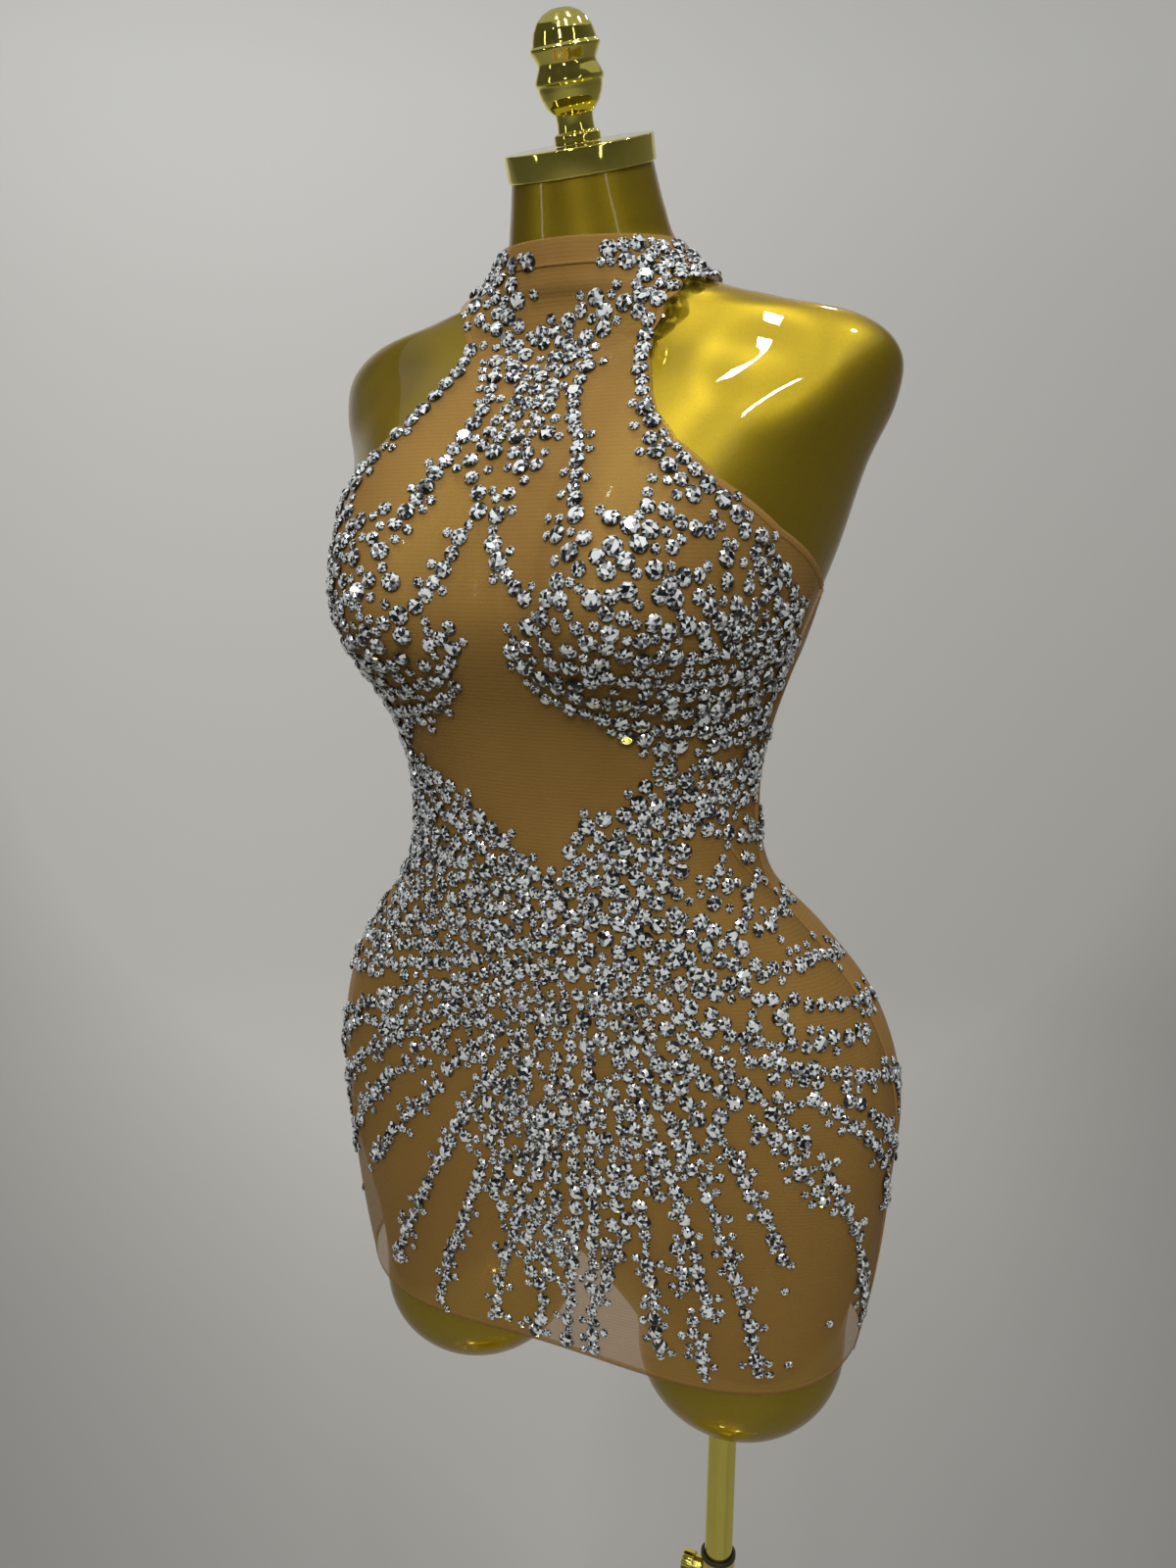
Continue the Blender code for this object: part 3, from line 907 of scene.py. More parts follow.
@dataclass(frozen=True)
class DressForm:
    """The limbless torso form with its neck cap and finial."""

    skin: Skin
    columns: int = 160
    station_step: float = 0.10
    split: float = 2.9
    crotch_height: float = 0.114
    crotch_points: int = 24
    thigh_x: float = 0.1005
    thigh_y: float = 0.040
    thigh_half_width: float = 0.0690
    thigh_front: float = 0.0700
    thigh_back: float = 0.078
    thigh_spread: float = math.radians(35)
    thigh_rows: int = 26
    dome_top: float = 0.028
    dome_height: float = 0.060
    dome_rows: int = 18
    socket_radius: float = 0.0099
    socket_top: float = 0.013
    socket_sides: int = 64
    sharp_angle: float = math.radians(50)
    cap_radius: float = 0.0425
    cap_height: float = 0.014
    cap_edge: float = 0.0011
    cap_sides: int = 128
    finial_edge: float = 0.0007
    neck_tilt: float = math.radians(23)
    gap: float = 0.0003
    finial: tuple = (
        (0, 0.0645), (0.0052, 0.0639), (0.0098, 0.0620), (0.0136, 0.0587), (0.0161, 0.0545),
        (0.0174, 0.0500), (0.0177, 0.0480), (0.0193, 0.0467), (0.0193, 0.0456), (0.0176, 0.0424),
        (0.0159, 0.0392), (0.0163, 0.0376), (0.0178, 0.0345), (0.0191, 0.0315), (0.0191, 0.0302),
        (0.0180, 0.0288), (0.0177, 0.0262), (0.0167, 0.0228), (0.0148, 0.0188), (0.0122, 0.0159),
        (0.0104, 0.0147), (0.0101, 0.0100), (0.0104, 0.0060), (0.0126, 0.0053), (0.0131, 0.0040),
        (0.0131, 0.0008), (0.0126, 0), (0, 0),
    )

    def thigh_ring(self, share: float) -> Array:
        """Ring of one thigh at a share of its full size: an ellipse, (x, y) pairs.

        Args:
            share: the ring's share of the thigh's full size.

        Returns:
            (x, y) pairs, wrapped round.
        """
        outer = np.linspace(-self.thigh_spread, math.pi + self.thigh_spread, self.columns // 2 + 1)
        inner = np.linspace(math.pi + self.thigh_spread, 2 * math.pi - self.thigh_spread,
                            self.crotch_points + 2)[1:-1]
        angle = np.concatenate([outer, inner])
        depth = np.where(np.cos(angle) > 0, self.thigh_front, self.thigh_back)
        x = self.thigh_x + share * self.thigh_half_width * np.sin(angle)
        y = self.thigh_y - share * depth * np.cos(angle)
        return np.stack([x, y], axis=-1)

    def thigh_rows_of(self, ring: Array) -> Array:
        """Rows of points from the crotch ring down one thigh to its rounded end.

        The plan shape runs from the body's own section to the thigh's ellipse, eased at both ends
        on the outside and opening at once on the inside; the height falls in a straight line. The
        end is a quarter ellipse: cosine across, sine down.

        Args:
            ring: the crotch ring's points, half the body ring and then the saddle.

        Returns:
            Rows of points, wrapped round.
        """
        half = self.columns // 2
        count = half + 1 + self.crotch_points
        angle = np.linspace(0, math.pi, half + 1)
        inside = np.concatenate([0.5 * (1 - np.sin(angle)) ** 2, np.ones(self.crotch_points)])
        full = self.thigh_ring(1.0)
        rows = []
        for share in np.linspace(0, 1, self.thigh_rows + 1)[1:]:
            height = ring[:, 2] + share * (self.dome_top - ring[:, 2])
            station = np.full(half + 1, self.skin.station_at(height[half // 2]))
            plan = ring[:, :2].copy()
            plan[: half + 1] = self.skin.body(station, angle)[:, :2]
            eased = (1 - inside) * smooth(share) + inside * math.sin(share * math.pi / 2)
            mixed = (1 - eased[:, None]) * plan + eased[:, None] * full
            rows.append(np.column_stack([mixed, height]))
        for turn in np.linspace(0, math.pi / 2, self.dome_rows + 1)[1:]:
            height = np.full(count, self.dome_top - self.dome_height * math.sin(turn))
            rows.append(np.column_stack([self.thigh_ring(math.cos(turn)), height]))
        return np.array(rows)

    def torso_mesh(self) -> bpy.types.Mesh:
        """Loft of body rings from the neck to the crotch, then the two thighs.

        Returns:
            A closed mesh.
        """
        angle = steps_round(self.columns)
        stations = np.append(np.arange(TOP_STATION, self.split, -self.station_step), self.split)
        grid = self.skin.body(*np.meshgrid(stations, angle, indexing="ij"))
        last = grid[-1]
        half = self.columns // 2
        share = np.linspace(0, 1, self.crotch_points + 2)[1:-1]
        y = last[half, 1] + share * (last[0, 1] - last[half, 1])
        z = last[0, 2] - (last[0, 2] - self.crotch_height) * (1 - (2 * share - 1) ** 2)
        saddle = np.stack([np.zeros_like(y), y, z], axis=-1)
        ring = np.concatenate([last[: half + 1], saddle])
        thigh = np.concatenate([ring[None], self.thigh_rows_of(ring)])
        points = [grid.reshape(-1, 3)]
        faces = [[*range(self.columns)]]
        faces.extend(grid_faces(len(stations), self.columns, wrap=True).tolist())
        start = grid.shape[0] * grid.shape[1]
        for side in (1, -1):
            points.append((thigh * (side, 1, 1)).reshape(-1, 3))
            faces.extend((grid_faces(len(thigh), len(ring), wrap=True) + start).tolist())
            start += thigh.shape[0] * thigh.shape[1]
        return close_mesh(new_mesh("torso_skin", world(np.concatenate(points)), faces))

    def build_torso(self, finishes: Finishes) -> None:
        """The painted torso with the mast's socket cut into its left thigh.

        Args:
            finishes: the object's materials.
        """
        torso = make_piece("torso_skin", self.torso_mesh(), finishes.lacquer, FORM_BODY)
        low = FORM_LIFT + self.dome_top - 1.5 * self.dome_height
        high = FORM_LIFT + self.socket_top
        outline = ((0, low), (self.socket_radius, low), (self.socket_radius, high), (0, high))
        turn = Matrix.Translation((POLE_X, POLE_Y, 0))
        drill = turned_mesh("socket_cutter", outline, self.socket_sides, turn)
        cutter = bpy.data.objects.new("socket_cutter", drill)
        bpy.context.scene.collection.objects.link(cutter)
        cut = torso.modifiers.new("socket", "BOOLEAN")
        cut.operation = "DIFFERENCE"
        cut.object = cutter
        apply_modifiers(torso)
        bpy.data.objects.remove(cutter)
        torso.data.set_sharp_from_angle(angle=self.sharp_angle)
        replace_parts(torso, "form_torso")

    def build_neck(self, finishes: Finishes) -> None:
        """The neck cap and the turned finial, square to the neck's leaning top.

        Args:
            finishes: the object's materials.
        """
        height, centre = BODY_ROWS[TOP_STATION, 0], BODY_ROWS[TOP_STATION, 4]
        axis = Vector((0, -math.sin(self.neck_tilt), math.cos(self.neck_tilt)))
        neck = Vector((0, FORM_Y + centre, FORM_LIFT + height))
        lean = Matrix.Rotation(self.neck_tilt, 4, "X")
        rim = ((0, 0), (self.cap_radius, 0), (self.cap_radius, self.cap_height), (0, self.cap_height))
        turn = Matrix.Translation(neck + self.gap * axis) @ lean
        cap = turned_mesh("cap_disc", rounded(rim, self.cap_edge), self.cap_sides, turn)
        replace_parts(make_piece("cap_disc", cap, finishes.plate, FORM_BODY), "neck_cap")
        turn = Matrix.Translation(neck + (self.cap_height + 2 * self.gap) * axis) @ lean
        knob = turned_mesh("finial_knob", rounded(self.finial, self.finial_edge), TURNED_SIDES, turn)
        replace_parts(make_piece("finial_knob", knob, finishes.plate, FORM_BODY), "finial")

    def build(self, finishes: Finishes) -> None:
        """Build every piece of the form."""
        self.build_torso(finishes)
        self.build_neck(finishes)


# The dress

@dataclass(frozen=True)
class Dress:
    """Front and back panels, collar, turned edges, seams and the collar's buttons."""

    skin: Skin
    lift: float = 0.0022
    wall: float = 0.0005
    front_columns: int = 120
    front_rows: int = 260
    back_columns: int = 120
    back_rows: int = 110
    seam_half_angle: float = 0.0012
    collar_columns: int = 200
    collar_rows: int = 10
    collar_end: float = math.radians(179.8)
    collar_overlap: float = 0.03
    row_breaks: tuple = (8.6, 12.4)
    stretch: float = 1.06
    uv_radius: float = 0.17
    # Widths and heights of the turned edges and seams.
    hem_size: tuple = (0.0036, 0.0004)
    armhole_size: tuple = (0.0042, 0.0006)
    side_size: tuple = (0.0034, 0.0007)
    dart_size: tuple = (0.0022, 0.0005)
    back_size: tuple = (0.0044, 0.0006)
    collar_size: tuple = (0.0020, 0.0010)
    strip_sides: int = 10
    # Station of an armhole fold's top, its distance from the edge, and the cloth's metres for each
    # radian at stations up the armhole.
    armhole_top: float = 16.62
    armhole_inset: float = 0.0024
    armhole_reach: tuple = ((10.6, 12.5, 14.5, 16.6), (0.13, 0.17, 0.13, 0.075))
    button_angle: float = math.radians(174)
    button_sides: int = 32
    loop_size: tuple = (0.0085, 0.00468)
    loop_shift: float = 0.0035
    loop_rise: float = 0.0008
    loop_radius: float = 0.00055

    def front_lattice(self) -> tuple[Array, Array]:
        """Stations and angles of the front panel's grid, from the hem up to the collar.

        The station is eased at its ends towards the hem's wave and the collar's seam; the angle is a
        share of the armhole's half angle.

        Returns:
            Stations and angles, in rows across the panel.
        """
        skin = self.skin
        waist, bust = self.row_breaks
        third = self.front_rows // 3
        rows = np.concatenate([
            np.linspace(skin.hem, waist, third, endpoint=False),
            np.linspace(waist, bust, third, endpoint=False),
            np.linspace(bust, skin.collar_low, third),
        ])
        station, place = np.meshgrid(rows, np.linspace(-1, 1, self.front_columns + 1), indexing="ij")
        angle = place * (skin.armhole(station) - self.seam_half_angle)
        share = (station - skin.hem) / (skin.collar_low - skin.hem)
        low = (skin.hem_station(angle) - skin.hem) * (1 - share) ** skin.edge_ease
        collar = skin.collar_station(angle, 0) - self.collar_overlap
        high = (collar - skin.collar_low) * share ** skin.edge_ease
        return station + low + high, angle

    def back_lattice(self) -> tuple[Array, Array]:
        """Stations and angles of the back panel's grid, from the hem to the open back's edge.

        Returns:
            Stations and angles, in rows across the panel.
        """
        edge = math.pi / 2 + self.seam_half_angle
        around = np.linspace(edge, 2 * math.pi - edge, self.back_columns + 1)
        share, angle = np.meshgrid(np.linspace(0, 1, self.back_rows + 1), around, indexing="ij")
        low = self.skin.hem_station(angle)
        return low + share * (self.skin.back_station(angle) - low), angle

    def strain(self, station: Array, angle: Array) -> Array:
        """Soft stretch folds of the halter and the waist: low waves under bell-shaped masks.

        Args:
            station: places up the form.
            angle: angles round it.

        Returns:
            Extra lift, metres.
        """
        degrees = np.degrees(angle)
        halter = fall(station - 14.2, 1.1, 2) * fall(np.abs(degrees) - 11, 7, 2)
        folds = np.sin(station * 17 + np.abs(degrees) * 0.22)
        folds = folds + 0.5 * np.sin(station * 31 - degrees * 0.15)
        waist = fall(station - 8.2, 1.3, 2) * fall(np.abs(degrees) - 78, 20, 2)
        ripples = np.sin(station * 9 + degrees * 0.10)
        return 0.00016 * halter * folds + 0.00022 * waist * ripples

    def cloth_mesh(self, name: str, station: Array, angle: Array, lift: float) -> bpy.types.Mesh:
        """Mesh of a grid on the cloth, with its UV map in metres.

        Args:
            name: the mesh's name.
            station: the grid's stations.
            angle: its angles.
            lift: distance from the skin, metres.

        Returns:
            An open sheet.
        """
        points = world(self.skin.cloth(station, angle, lift + self.strain(station, angle)))
        mesh = new_mesh(name, points, grid_faces(*station.shape))
        add_uv(mesh, np.stack([angle * self.uv_radius, points[..., 2]], axis=-1))
        return mesh

    def build_panel(self, name: str, node: str, lattice: tuple[Array, Array],
                    cloth: bpy.types.Material) -> None:
        """One body panel, a sheet given a thin wall.

        Args:
            name: the piece's name.
            node: the node that it stands for.
            lattice: its stations and angles.
            cloth: its material.
        """
        mesh = self.cloth_mesh(name, *lattice, self.lift)
        panel = make_piece(name, mesh, cloth, FORM_BODY)
        add_wall(panel, self.wall)
        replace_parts(panel, node)

    def build_collar(self, finishes: Finishes) -> None:
        """The standing collar band, doubled cloth.

        Args:
            finishes: the object's materials.
        """
        around = np.linspace(-self.collar_end, self.collar_end, self.collar_columns + 1)
        share, angle = np.meshgrid(np.linspace(0, 1, self.collar_rows + 1), around, indexing="ij")
        station = self.skin.collar_station(angle, share)
        mesh = self.cloth_mesh("collar_band", station, angle, self.lift)
        collar = make_piece("collar_band", mesh, finishes.double_mesh, FORM_BODY)
        add_wall(collar, 2 * self.wall)
        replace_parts(collar, "dress_collar")

    def add_strip(self, name: str, middle: tuple[Array, Array], size: tuple[float, float],
                  finish: bpy.types.Material, closed: bool = False) -> None:
        """A flat raised strip along a line on the cloth, with a lens-shaped section.

        The section runs across the line: its height is the cosine of the share across, and its
        underside lies on the cloth.

        Args:
            name: the piece's name.
            middle: stations and angles of the strip's middle line.
            size: the strip's width, and how far its middle stands out, metres.
            finish: its material.
            closed: true where the line runs round and meets itself.
        """
        width, height = size
        station, angle = middle
        line = self.skin.cloth(station, angle, self.lift + self.wall)
        outward = self.skin.normal(station, angle)
        if closed:
            along = np.roll(line, -1, axis=0) - np.roll(line, 1, axis=0)
        else:
            along = np.gradient(line, axis=0)
        across = np.cross(outward, along)
        across /= np.linalg.norm(across, axis=-1, keepdims=True)
        turn = np.linspace(0, 2 * math.pi, self.strip_sides, endpoint=False)
        over = 0.5 * width * np.cos(turn)
        rise = height * np.where(np.sin(turn) > 0, np.sin(turn), 0.25 * np.sin(turn))
        points = (line[:, None] + over[None, :, None] * across[:, None]
                  + rise[None, :, None] * outward[:, None])
        faces = grid_faces(len(line), len(turn), wrap=True).tolist()
        count = len(turn)
        last = (len(line) - 1) * count
        if closed:
            faces.extend([last + k, last + (k + 1) % count, (k + 1) % count, k] for k in range(count))
        else:
            faces.extend([list(range(count)), list(range(last, last + count))])
        mesh = new_mesh(name, world(points), faces)
        add_uv(mesh, np.stack(np.broadcast_arrays(travelled(line)[:, None], over[None, :]), axis=-1))
        make_piece(name, close_mesh(mesh), finish, FORM_BODY)

    def build_edges(self, finishes: Finishes) -> None:
        """The turned hem, armhole and back edges, the side seams and waist darts, and the collar's seam.

        Args:
            finishes: the object's materials.
        """
        skin, doubled = self.skin, finishes.double_mesh
        around = np.linspace(-math.pi, math.pi, 361)[:-1]
        self.add_strip("hem_fold", (skin.hem_station(around) + 0.05, around), self.hem_size,
                       finishes.mesh, closed=True)
        rows = np.linspace(skin.armpit, self.armhole_top, 160)
        inset = self.armhole_inset / np.interp(rows, *self.armhole_reach)
        seam = np.linspace(skin.hem + 0.02, skin.armpit - 0.03, 160)
        share = np.linspace(0, 1, 60)
        dart = 8.55 - 1.7 * share - 0.25 * np.sin(share * math.pi)
        for side, label in ((1, "left"), (-1, "right")):
            fold = side * (skin.armhole(rows) - inset)
            self.add_strip(f"armhole_fold_{label}", (rows, fold), self.armhole_size, doubled)
            down = np.full_like(seam, side * math.pi / 2)
            self.add_strip(f"side_seam_{label}", (seam, down), self.side_size, doubled)
            dart_angle = side * np.radians(54 + 35 * share)
            self.add_strip(f"waist_dart_{label}", (dart, dart_angle), self.dart_size, doubled)
        back = np.linspace(math.pi / 2 + 0.01, 1.5 * math.pi - 0.01, 220)
        self.add_strip("back_fold", (skin.back_station(back) - 0.05, back), self.back_size, doubled)
        neck = np.linspace(-math.radians(178.5), math.radians(178.5), 300)
        around = (skin.collar_station(neck, 0.05), neck)
        self.add_strip("collar_seam", around, self.collar_size, doubled)

    def build_buttons(self, finishes: Finishes) -> None:
        """The two pearl buttons at the back of the collar, each with its thread loop.

        Args:
            finishes: the object's materials.
        """
        for node, share in (("collar_button_upper", 0.74), ("collar_button_lower", 0.26)):
            angle = np.array(self.button_angle)
            station = self.skin.collar_station(angle, share)
            seat = Vector(world(self.skin.cloth(station, angle, self.lift + 2 * self.wall + 0.0006)))
            axis = Vector(self.skin.normal(station, angle))
            turn = Matrix.Translation(seat) @ axis.to_track_quat("Z", "Y").to_matrix().to_4x4()
            dome = [(0.0039 * math.sin(t), 0.0015 + 0.0014 * math.cos(t))
                    for t in np.linspace(0, 2.6, 16)[1:]]
            profile = [(0, 0.0029), *dome, (0.0012, 0), (0, 0)]
            bead = turned_mesh(f"pearl_{node}", profile, self.button_sides, turn)
            piece = make_piece(f"pearl_{node}", bead, finishes.pearl, FORM_BODY)
            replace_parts(piece, node)
            loop = np.linspace(0, 2 * math.pi, 49)[:-1]
            reach, width = self.loop_size
            ring = np.stack([reach * np.cos(loop) - self.loop_shift, width * np.sin(loop),
                             np.full_like(loop, self.loop_rise)], axis=-1)
            self.add_cord(f"loop_{node}", ring, self.loop_radius, turn, finishes.thread)

    def add_cord(self, name: str, ring: Array, radius: float, turn: Matrix,
                 finish: bpy.types.Material) -> None:
        """A closed round thread along a ring of points: a circle carried round the ring.

        Args:
            name: the piece's name.
            ring: the ring's points in its own plane.
            radius: the thread's radius, metres.
            turn: matrix that carries the ring to its place.
            finish: its material.
        """
        along = np.roll(ring, -1, axis=0) - np.roll(ring, 1, axis=0)
        along /= np.linalg.norm(along, axis=-1, keepdims=True)
        upright = np.array((0.0, 0.0, 1.0))
        across = np.cross(along, upright)
        turns = np.linspace(0, 2 * math.pi, 9)[:-1]
        points = (ring[:, None] + radius * np.cos(turns)[None, :, None] * across[:, None]
                  + radius * np.sin(turns)[None, :, None] * upright)
        closed = np.concatenate([points, points[:1]])
        faces = grid_faces(len(closed), len(turns), wrap=True)
        mesh = close_mesh(new_mesh(name, carried(closed, turn), faces))
        make_piece(name, mesh, finish, FORM_BODY)

    def build(self, finishes: Finishes) -> None:
        """Build every piece of the dress but its crystals.

        Args:
            finishes: the object's materials.
        """
        front, back = self.front_lattice(), self.back_lattice()
        self.build_panel("front_panel", "dress_front", front, finishes.mesh)
        self.build_panel("back_panel", "dress_back", back, finishes.back_mesh)
        self.build_collar(finishes)
        self.build_edges(finishes)
        self.build_buttons(finishes)


# The crystals

class Lay(Enum):
    """How thickly a strand of crystals is laid: rows across, and the share of tucked small ones."""

    BAND = (3, 0.9)
    ROPE = (2, 0.8)
    CORD = (1, 0.75)
    TRAIL = (1, 0.35)


@dataclass(frozen=True)
class Strand:
    """A strand of crystals through (angle in degrees, height in millimetres) points."""

    lay: Lay
    points: tuple
    mirrored: bool = False

    @property
    def sides(self) -> tuple:
        """1, and -1 too where the strand has a mirror image."""
        return (1, -1) if self.mirrored else (1,)


# Strands of the halter, the bust and the waist.
STRANDS = (
    Strand(Lay.BAND, ((78, 704), (60, 698), (40, 691), (25, 686), (15, 681), (7, 671), (2, 662),
        (-2, 652))),
    Strand(Lay.BAND, ((-22, 712), (-30, 701), (-24, 691), (-14, 681), (-8, 670), (-3, 657))),
    Strand(Lay.CORD, ((30, 688), (20, 674), (19, 662), (20, 646), (22, 629), (26, 612), (31, 598),
        (38, 584), (44, 573), (51, 560), (59, 546), (68, 532), (77, 520), (83, 508)), True),
    Strand(Lay.ROPE, ((28, 606), (34, 588), (43, 571), (51, 558), (60, 543)), True),
    Strand(Lay.CORD, ((6, 656), (8, 642), (9, 622), (13, 603), (16, 588), (18, 572), (21, 556))),
    Strand(Lay.CORD, ((-11, 654), (-9, 634), (-10, 610), (-14, 590), (-17, 568), (-21, 553))),
    Strand(Lay.ROPE, ((0, 644), (-2, 624), (-4, 610), (-6, 594), (-5, 583), (-1, 574))),
    Strand(Lay.ROPE, ((2, 638), (3, 620), (5, 605), (5, 593), (4, 583), (0, 574))),
    Strand(Lay.CORD, ((0, 574), (1, 560), (2, 546), (5, 534), (9, 524), (15, 516), (22, 509))),
    Strand(Lay.CORD, ((0, 574), (-4, 560), (-7, 546), (-9, 534), (-12, 524), (-16, 516),
        (-22, 509))),
    Strand(Lay.TRAIL, ((17, 576), (24, 564), (31, 556), (33, 566), (42, 556), (50, 562)), True),
    Strand(Lay.CORD, ((25, 552), (21, 540), (25, 528), (31, 519), (38, 512), (47, 509), (56, 512),
        (62, 522), (66, 536)), True),
    Strand(Lay.CORD, ((13, 521), (19, 514), (27, 504), (36, 498), (47, 495), (58, 498), (67, 508),
        (72, 522), (75, 532)), True),
    Strand(Lay.CORD, ((6, 509), (12, 500), (19, 493), (28, 488), (38, 484), (50, 481), (63, 484),
        (74, 494), (81, 508)), True),
    Strand(Lay.CORD, ((6, 500), (11, 487), (19, 478), (28, 473), (38, 470), (50, 467), (66, 469),
        (78, 477), (86, 492)), True),
    Strand(Lay.CORD, ((10, 479), (17, 469), (26, 462), (36, 458), (50, 455), (66, 457), (82, 467),
        (88, 480)), True),
    Strand(Lay.CORD, ((28, 456), (38, 449), (50, 444), (64, 446), (78, 453), (87, 462)), True),
    Strand(Lay.ROPE, ((84, 462), (87, 448), (84, 434), (86, 420)), True),
    Strand(Lay.BAND, ((5, 351), (12, 367), (19, 383), (27, 398), (37, 413), (50, 424), (64, 431),
        (80, 434))),
    Strand(Lay.BAND, ((5, 351), (-3, 364), (-11, 379), (-20, 395), (-31, 408), (-44, 418),
        (-62, 427), (-82, 434))),
    Strand(Lay.ROPE, ((72, 422), (66, 408), (70, 394), (84, 388), (97, 386))),
    Strand(Lay.ROPE, ((-72, 422), (-68, 408), (-74, 394), (-86, 388), (-97, 386))),
    Strand(Lay.CORD, ((48, 412), (57, 398), (67, 386), (79, 370))),
    Strand(Lay.ROPE, ((66, 378), (62, 367), (57, 356), (56, 346))),
    Strand(Lay.CORD, ((80, 378), (83, 366), (72, 356), (64, 343), (54, 334), (43, 328))),
    Strand(Lay.CORD, ((103, 347), (89, 341), (74, 337), (62, 333), (51, 328), (40, 322))),
    Strand(Lay.CORD, ((104, 305), (98, 308), (82, 313), (66, 313), (54, 311), (40, 304))),
    Strand(Lay.CORD, ((103, 280), (94, 282), (84, 287), (70, 289), (59, 294), (46, 300))),
    Strand(Lay.CORD, ((83, 270), (70, 272), (59, 271), (48, 272), (37, 281))),
    Strand(Lay.ROPE, ((97, 228), (82, 238), (68, 246), (54, 253), (40, 263))),
)

# Rays of the hips: end angle in degrees, end height in millimetres, sag of the middle.
HUB = (12, 326)
RAYS = (
    (67, 232, 2), (90, 190, 2),
    (78, 186, -4), (90, 150, -10), (83, 74, -26), (48, 134, -4), (45, 54, -10), (33, 98, 0),
    (34, 38, -6), (24, 60, 0), (10, 52, 0), (4, 44, 0), (-3, 44, 0), (-12, 62, 0),
    (-28, 50, -8), (-41, 62, -6), (-31, 122, 0), (-44, 138, -2), (-62, 178, -4), (-86, 200, 0),
    (-70, 228, 4), (-98, 250, 6), (-78, 274, 8), (-102, 294, 12), (-92, 318, 14), (-78, 346, 8),
    (-62, 128, -10), (-96, 150, -12), (58, 164, -2), (80, 212, 0), (-84, 112, -22),
)
# Single small crystals between and beyond the rays.
SINGLES = (
    (48, 116), (62, 88), (52, 62), (92, 212), (88, 322), (102, 290), (-33, 86), (-47, 128), (-6, 58),
    (70, 118), (96, 176), (76, 250), (-68, 90), (-90, 130), (-100, 220), (-96, 330), (14, 560),
)


@dataclass(frozen=True)
class Patch:
    """A field filled with crystals: its outline, the tries at large ones and at small ones."""

    outline: tuple
    tries: int
    small_tries: int
    mirrored: bool = False

    @property
    def sides(self) -> tuple:
        """1, and -1 too where the field has a mirror image."""
        return (1, -1) if self.mirrored else (1,)


PATCHES = (
    Patch(((23, 719), (60, 720), (94, 714), (88, 700), (60, 696), (52, 705), (38, 708),
        (23, 707)), 700, 500),
    Patch(((-15, 718), (-34, 719), (-62, 718), (-84, 711), (-66, 698), (-36, 698), (-24, 703)),
        400, 300),
    Patch(((80, 708), (58, 703), (40, 698), (26, 692), (12, 683), (2, 668), (3, 656), (10, 664),
        (18, 674), (28, 682), (44, 687), (62, 697), (80, 703)), 900, 700),
    Patch(((-30, 696), (-16, 690), (-9, 666), (6, 666), (8, 650), (5, 636), (-6, 636), (-10, 650),
        (-14, 668), (-28, 686)), 600, 400),
    Patch(((-6, 646), (6, 646), (5, 612), (1, 590), (-3, 612)), 300, 200),
    Patch(((17, 556), (20, 535), (16, 515), (7, 508), (9, 482), (18, 466), (32, 453), (60, 448),
        (84, 460), (88, 490), (83, 510), (68, 530), (52, 554), (40, 562), (30, 560)), 620, 420,
        True),
    Patch(((56, 548), (68, 530), (83, 510), (88, 490), (84, 460), (60, 448), (52, 466),
        (54, 500)), 700, 700, True),
    Patch(((5, 360), (27, 402), (50, 430), (84, 440), (88, 414), (68, 404), (52, 396), (50, 383),
        (46, 366), (42, 350), (53, 337), (55, 318), (48, 302), (34, 299), (22, 288), (8, 262),
        (-8, 262), (-28, 282), (-52, 312), (-60, 340), (-70, 380), (-86, 420), (-82, 440),
        (-44, 428), (-20, 402), (-8, 380)), 9000, 7000),
    Patch(((26, 284), (50, 296), (62, 262), (56, 222), (40, 212), (24, 228)), 70, 90),
    Patch(((-10, 230), (16, 230), (18, 150), (12, 96), (-2, 96), (-10, 150)), 500, 500),
)


@dataclass(frozen=True)
class StoneCut:
    """A round crystal of unit diameter: rings of corners at (radius, height), and its facets."""

    table: float = 0.30
    middle: float = 0.415
    girdle: float = 0.50
    base: float = 0.36
    heights: tuple = (0.29, 0.22, 0.11, 0.0)
    kinds: tuple = (0, 1, 2, 2, 3, 3, 4, 4, 4, 4)

    def corners(self) -> Array:
        """Corner points: the table's middle, eight, eight, sixteen, eight, and the base's middle.

        Returns:
            Positions, for a crystal 1 wide.
        """
        eight = np.arange(8) * math.pi / 4
        turns = (eight, eight + math.pi / 8, np.arange(16) * math.pi / 8, eight)
        radii = (self.table, self.middle, self.girdle, self.base)
        rings = [
            np.column_stack([radius * np.cos(turn), radius * np.sin(turn), np.full(len(turn), high)])
            for turn, radius, high in zip(turns, radii, self.heights)
        ]
        top = np.array([[0, 0, self.heights[0]]])
        bottom = np.array([[0, 0, self.heights[3]]])
        return np.concatenate([top, *rings, bottom])

    def facets(self) -> tuple[Array, Array]:
        """Corner numbers of the facets, and the ring that each belongs to.

        Returns:
            Triangles, and 0 for the table, 1 for stars, 2 for kites, 3 for the girdle's facets and 4
            for the underside.
        """
        faces = []
        for k in range(8):
            after, before = (k + 1) % 8, (k - 1) % 8
            top, next_top, mid, last_mid = 1 + k, 1 + after, 9 + k, 9 + before
            base, next_base = 33 + k, 33 + after
            rim = [17 + (2 * k + j) % 16 for j in range(3)]
            faces += [(0, top, next_top), (top, mid, next_top), (top, last_mid, rim[0]),
                      (top, rim[0], mid), (mid, rim[0], rim[1]), (mid, rim[1], rim[2]),
                      (rim[0], base, rim[1]), (rim[1], base, next_base), (rim[1], next_base, rim[2]),
                      (41, next_base, base)]
        return np.array(faces), np.tile(self.kinds, 8)


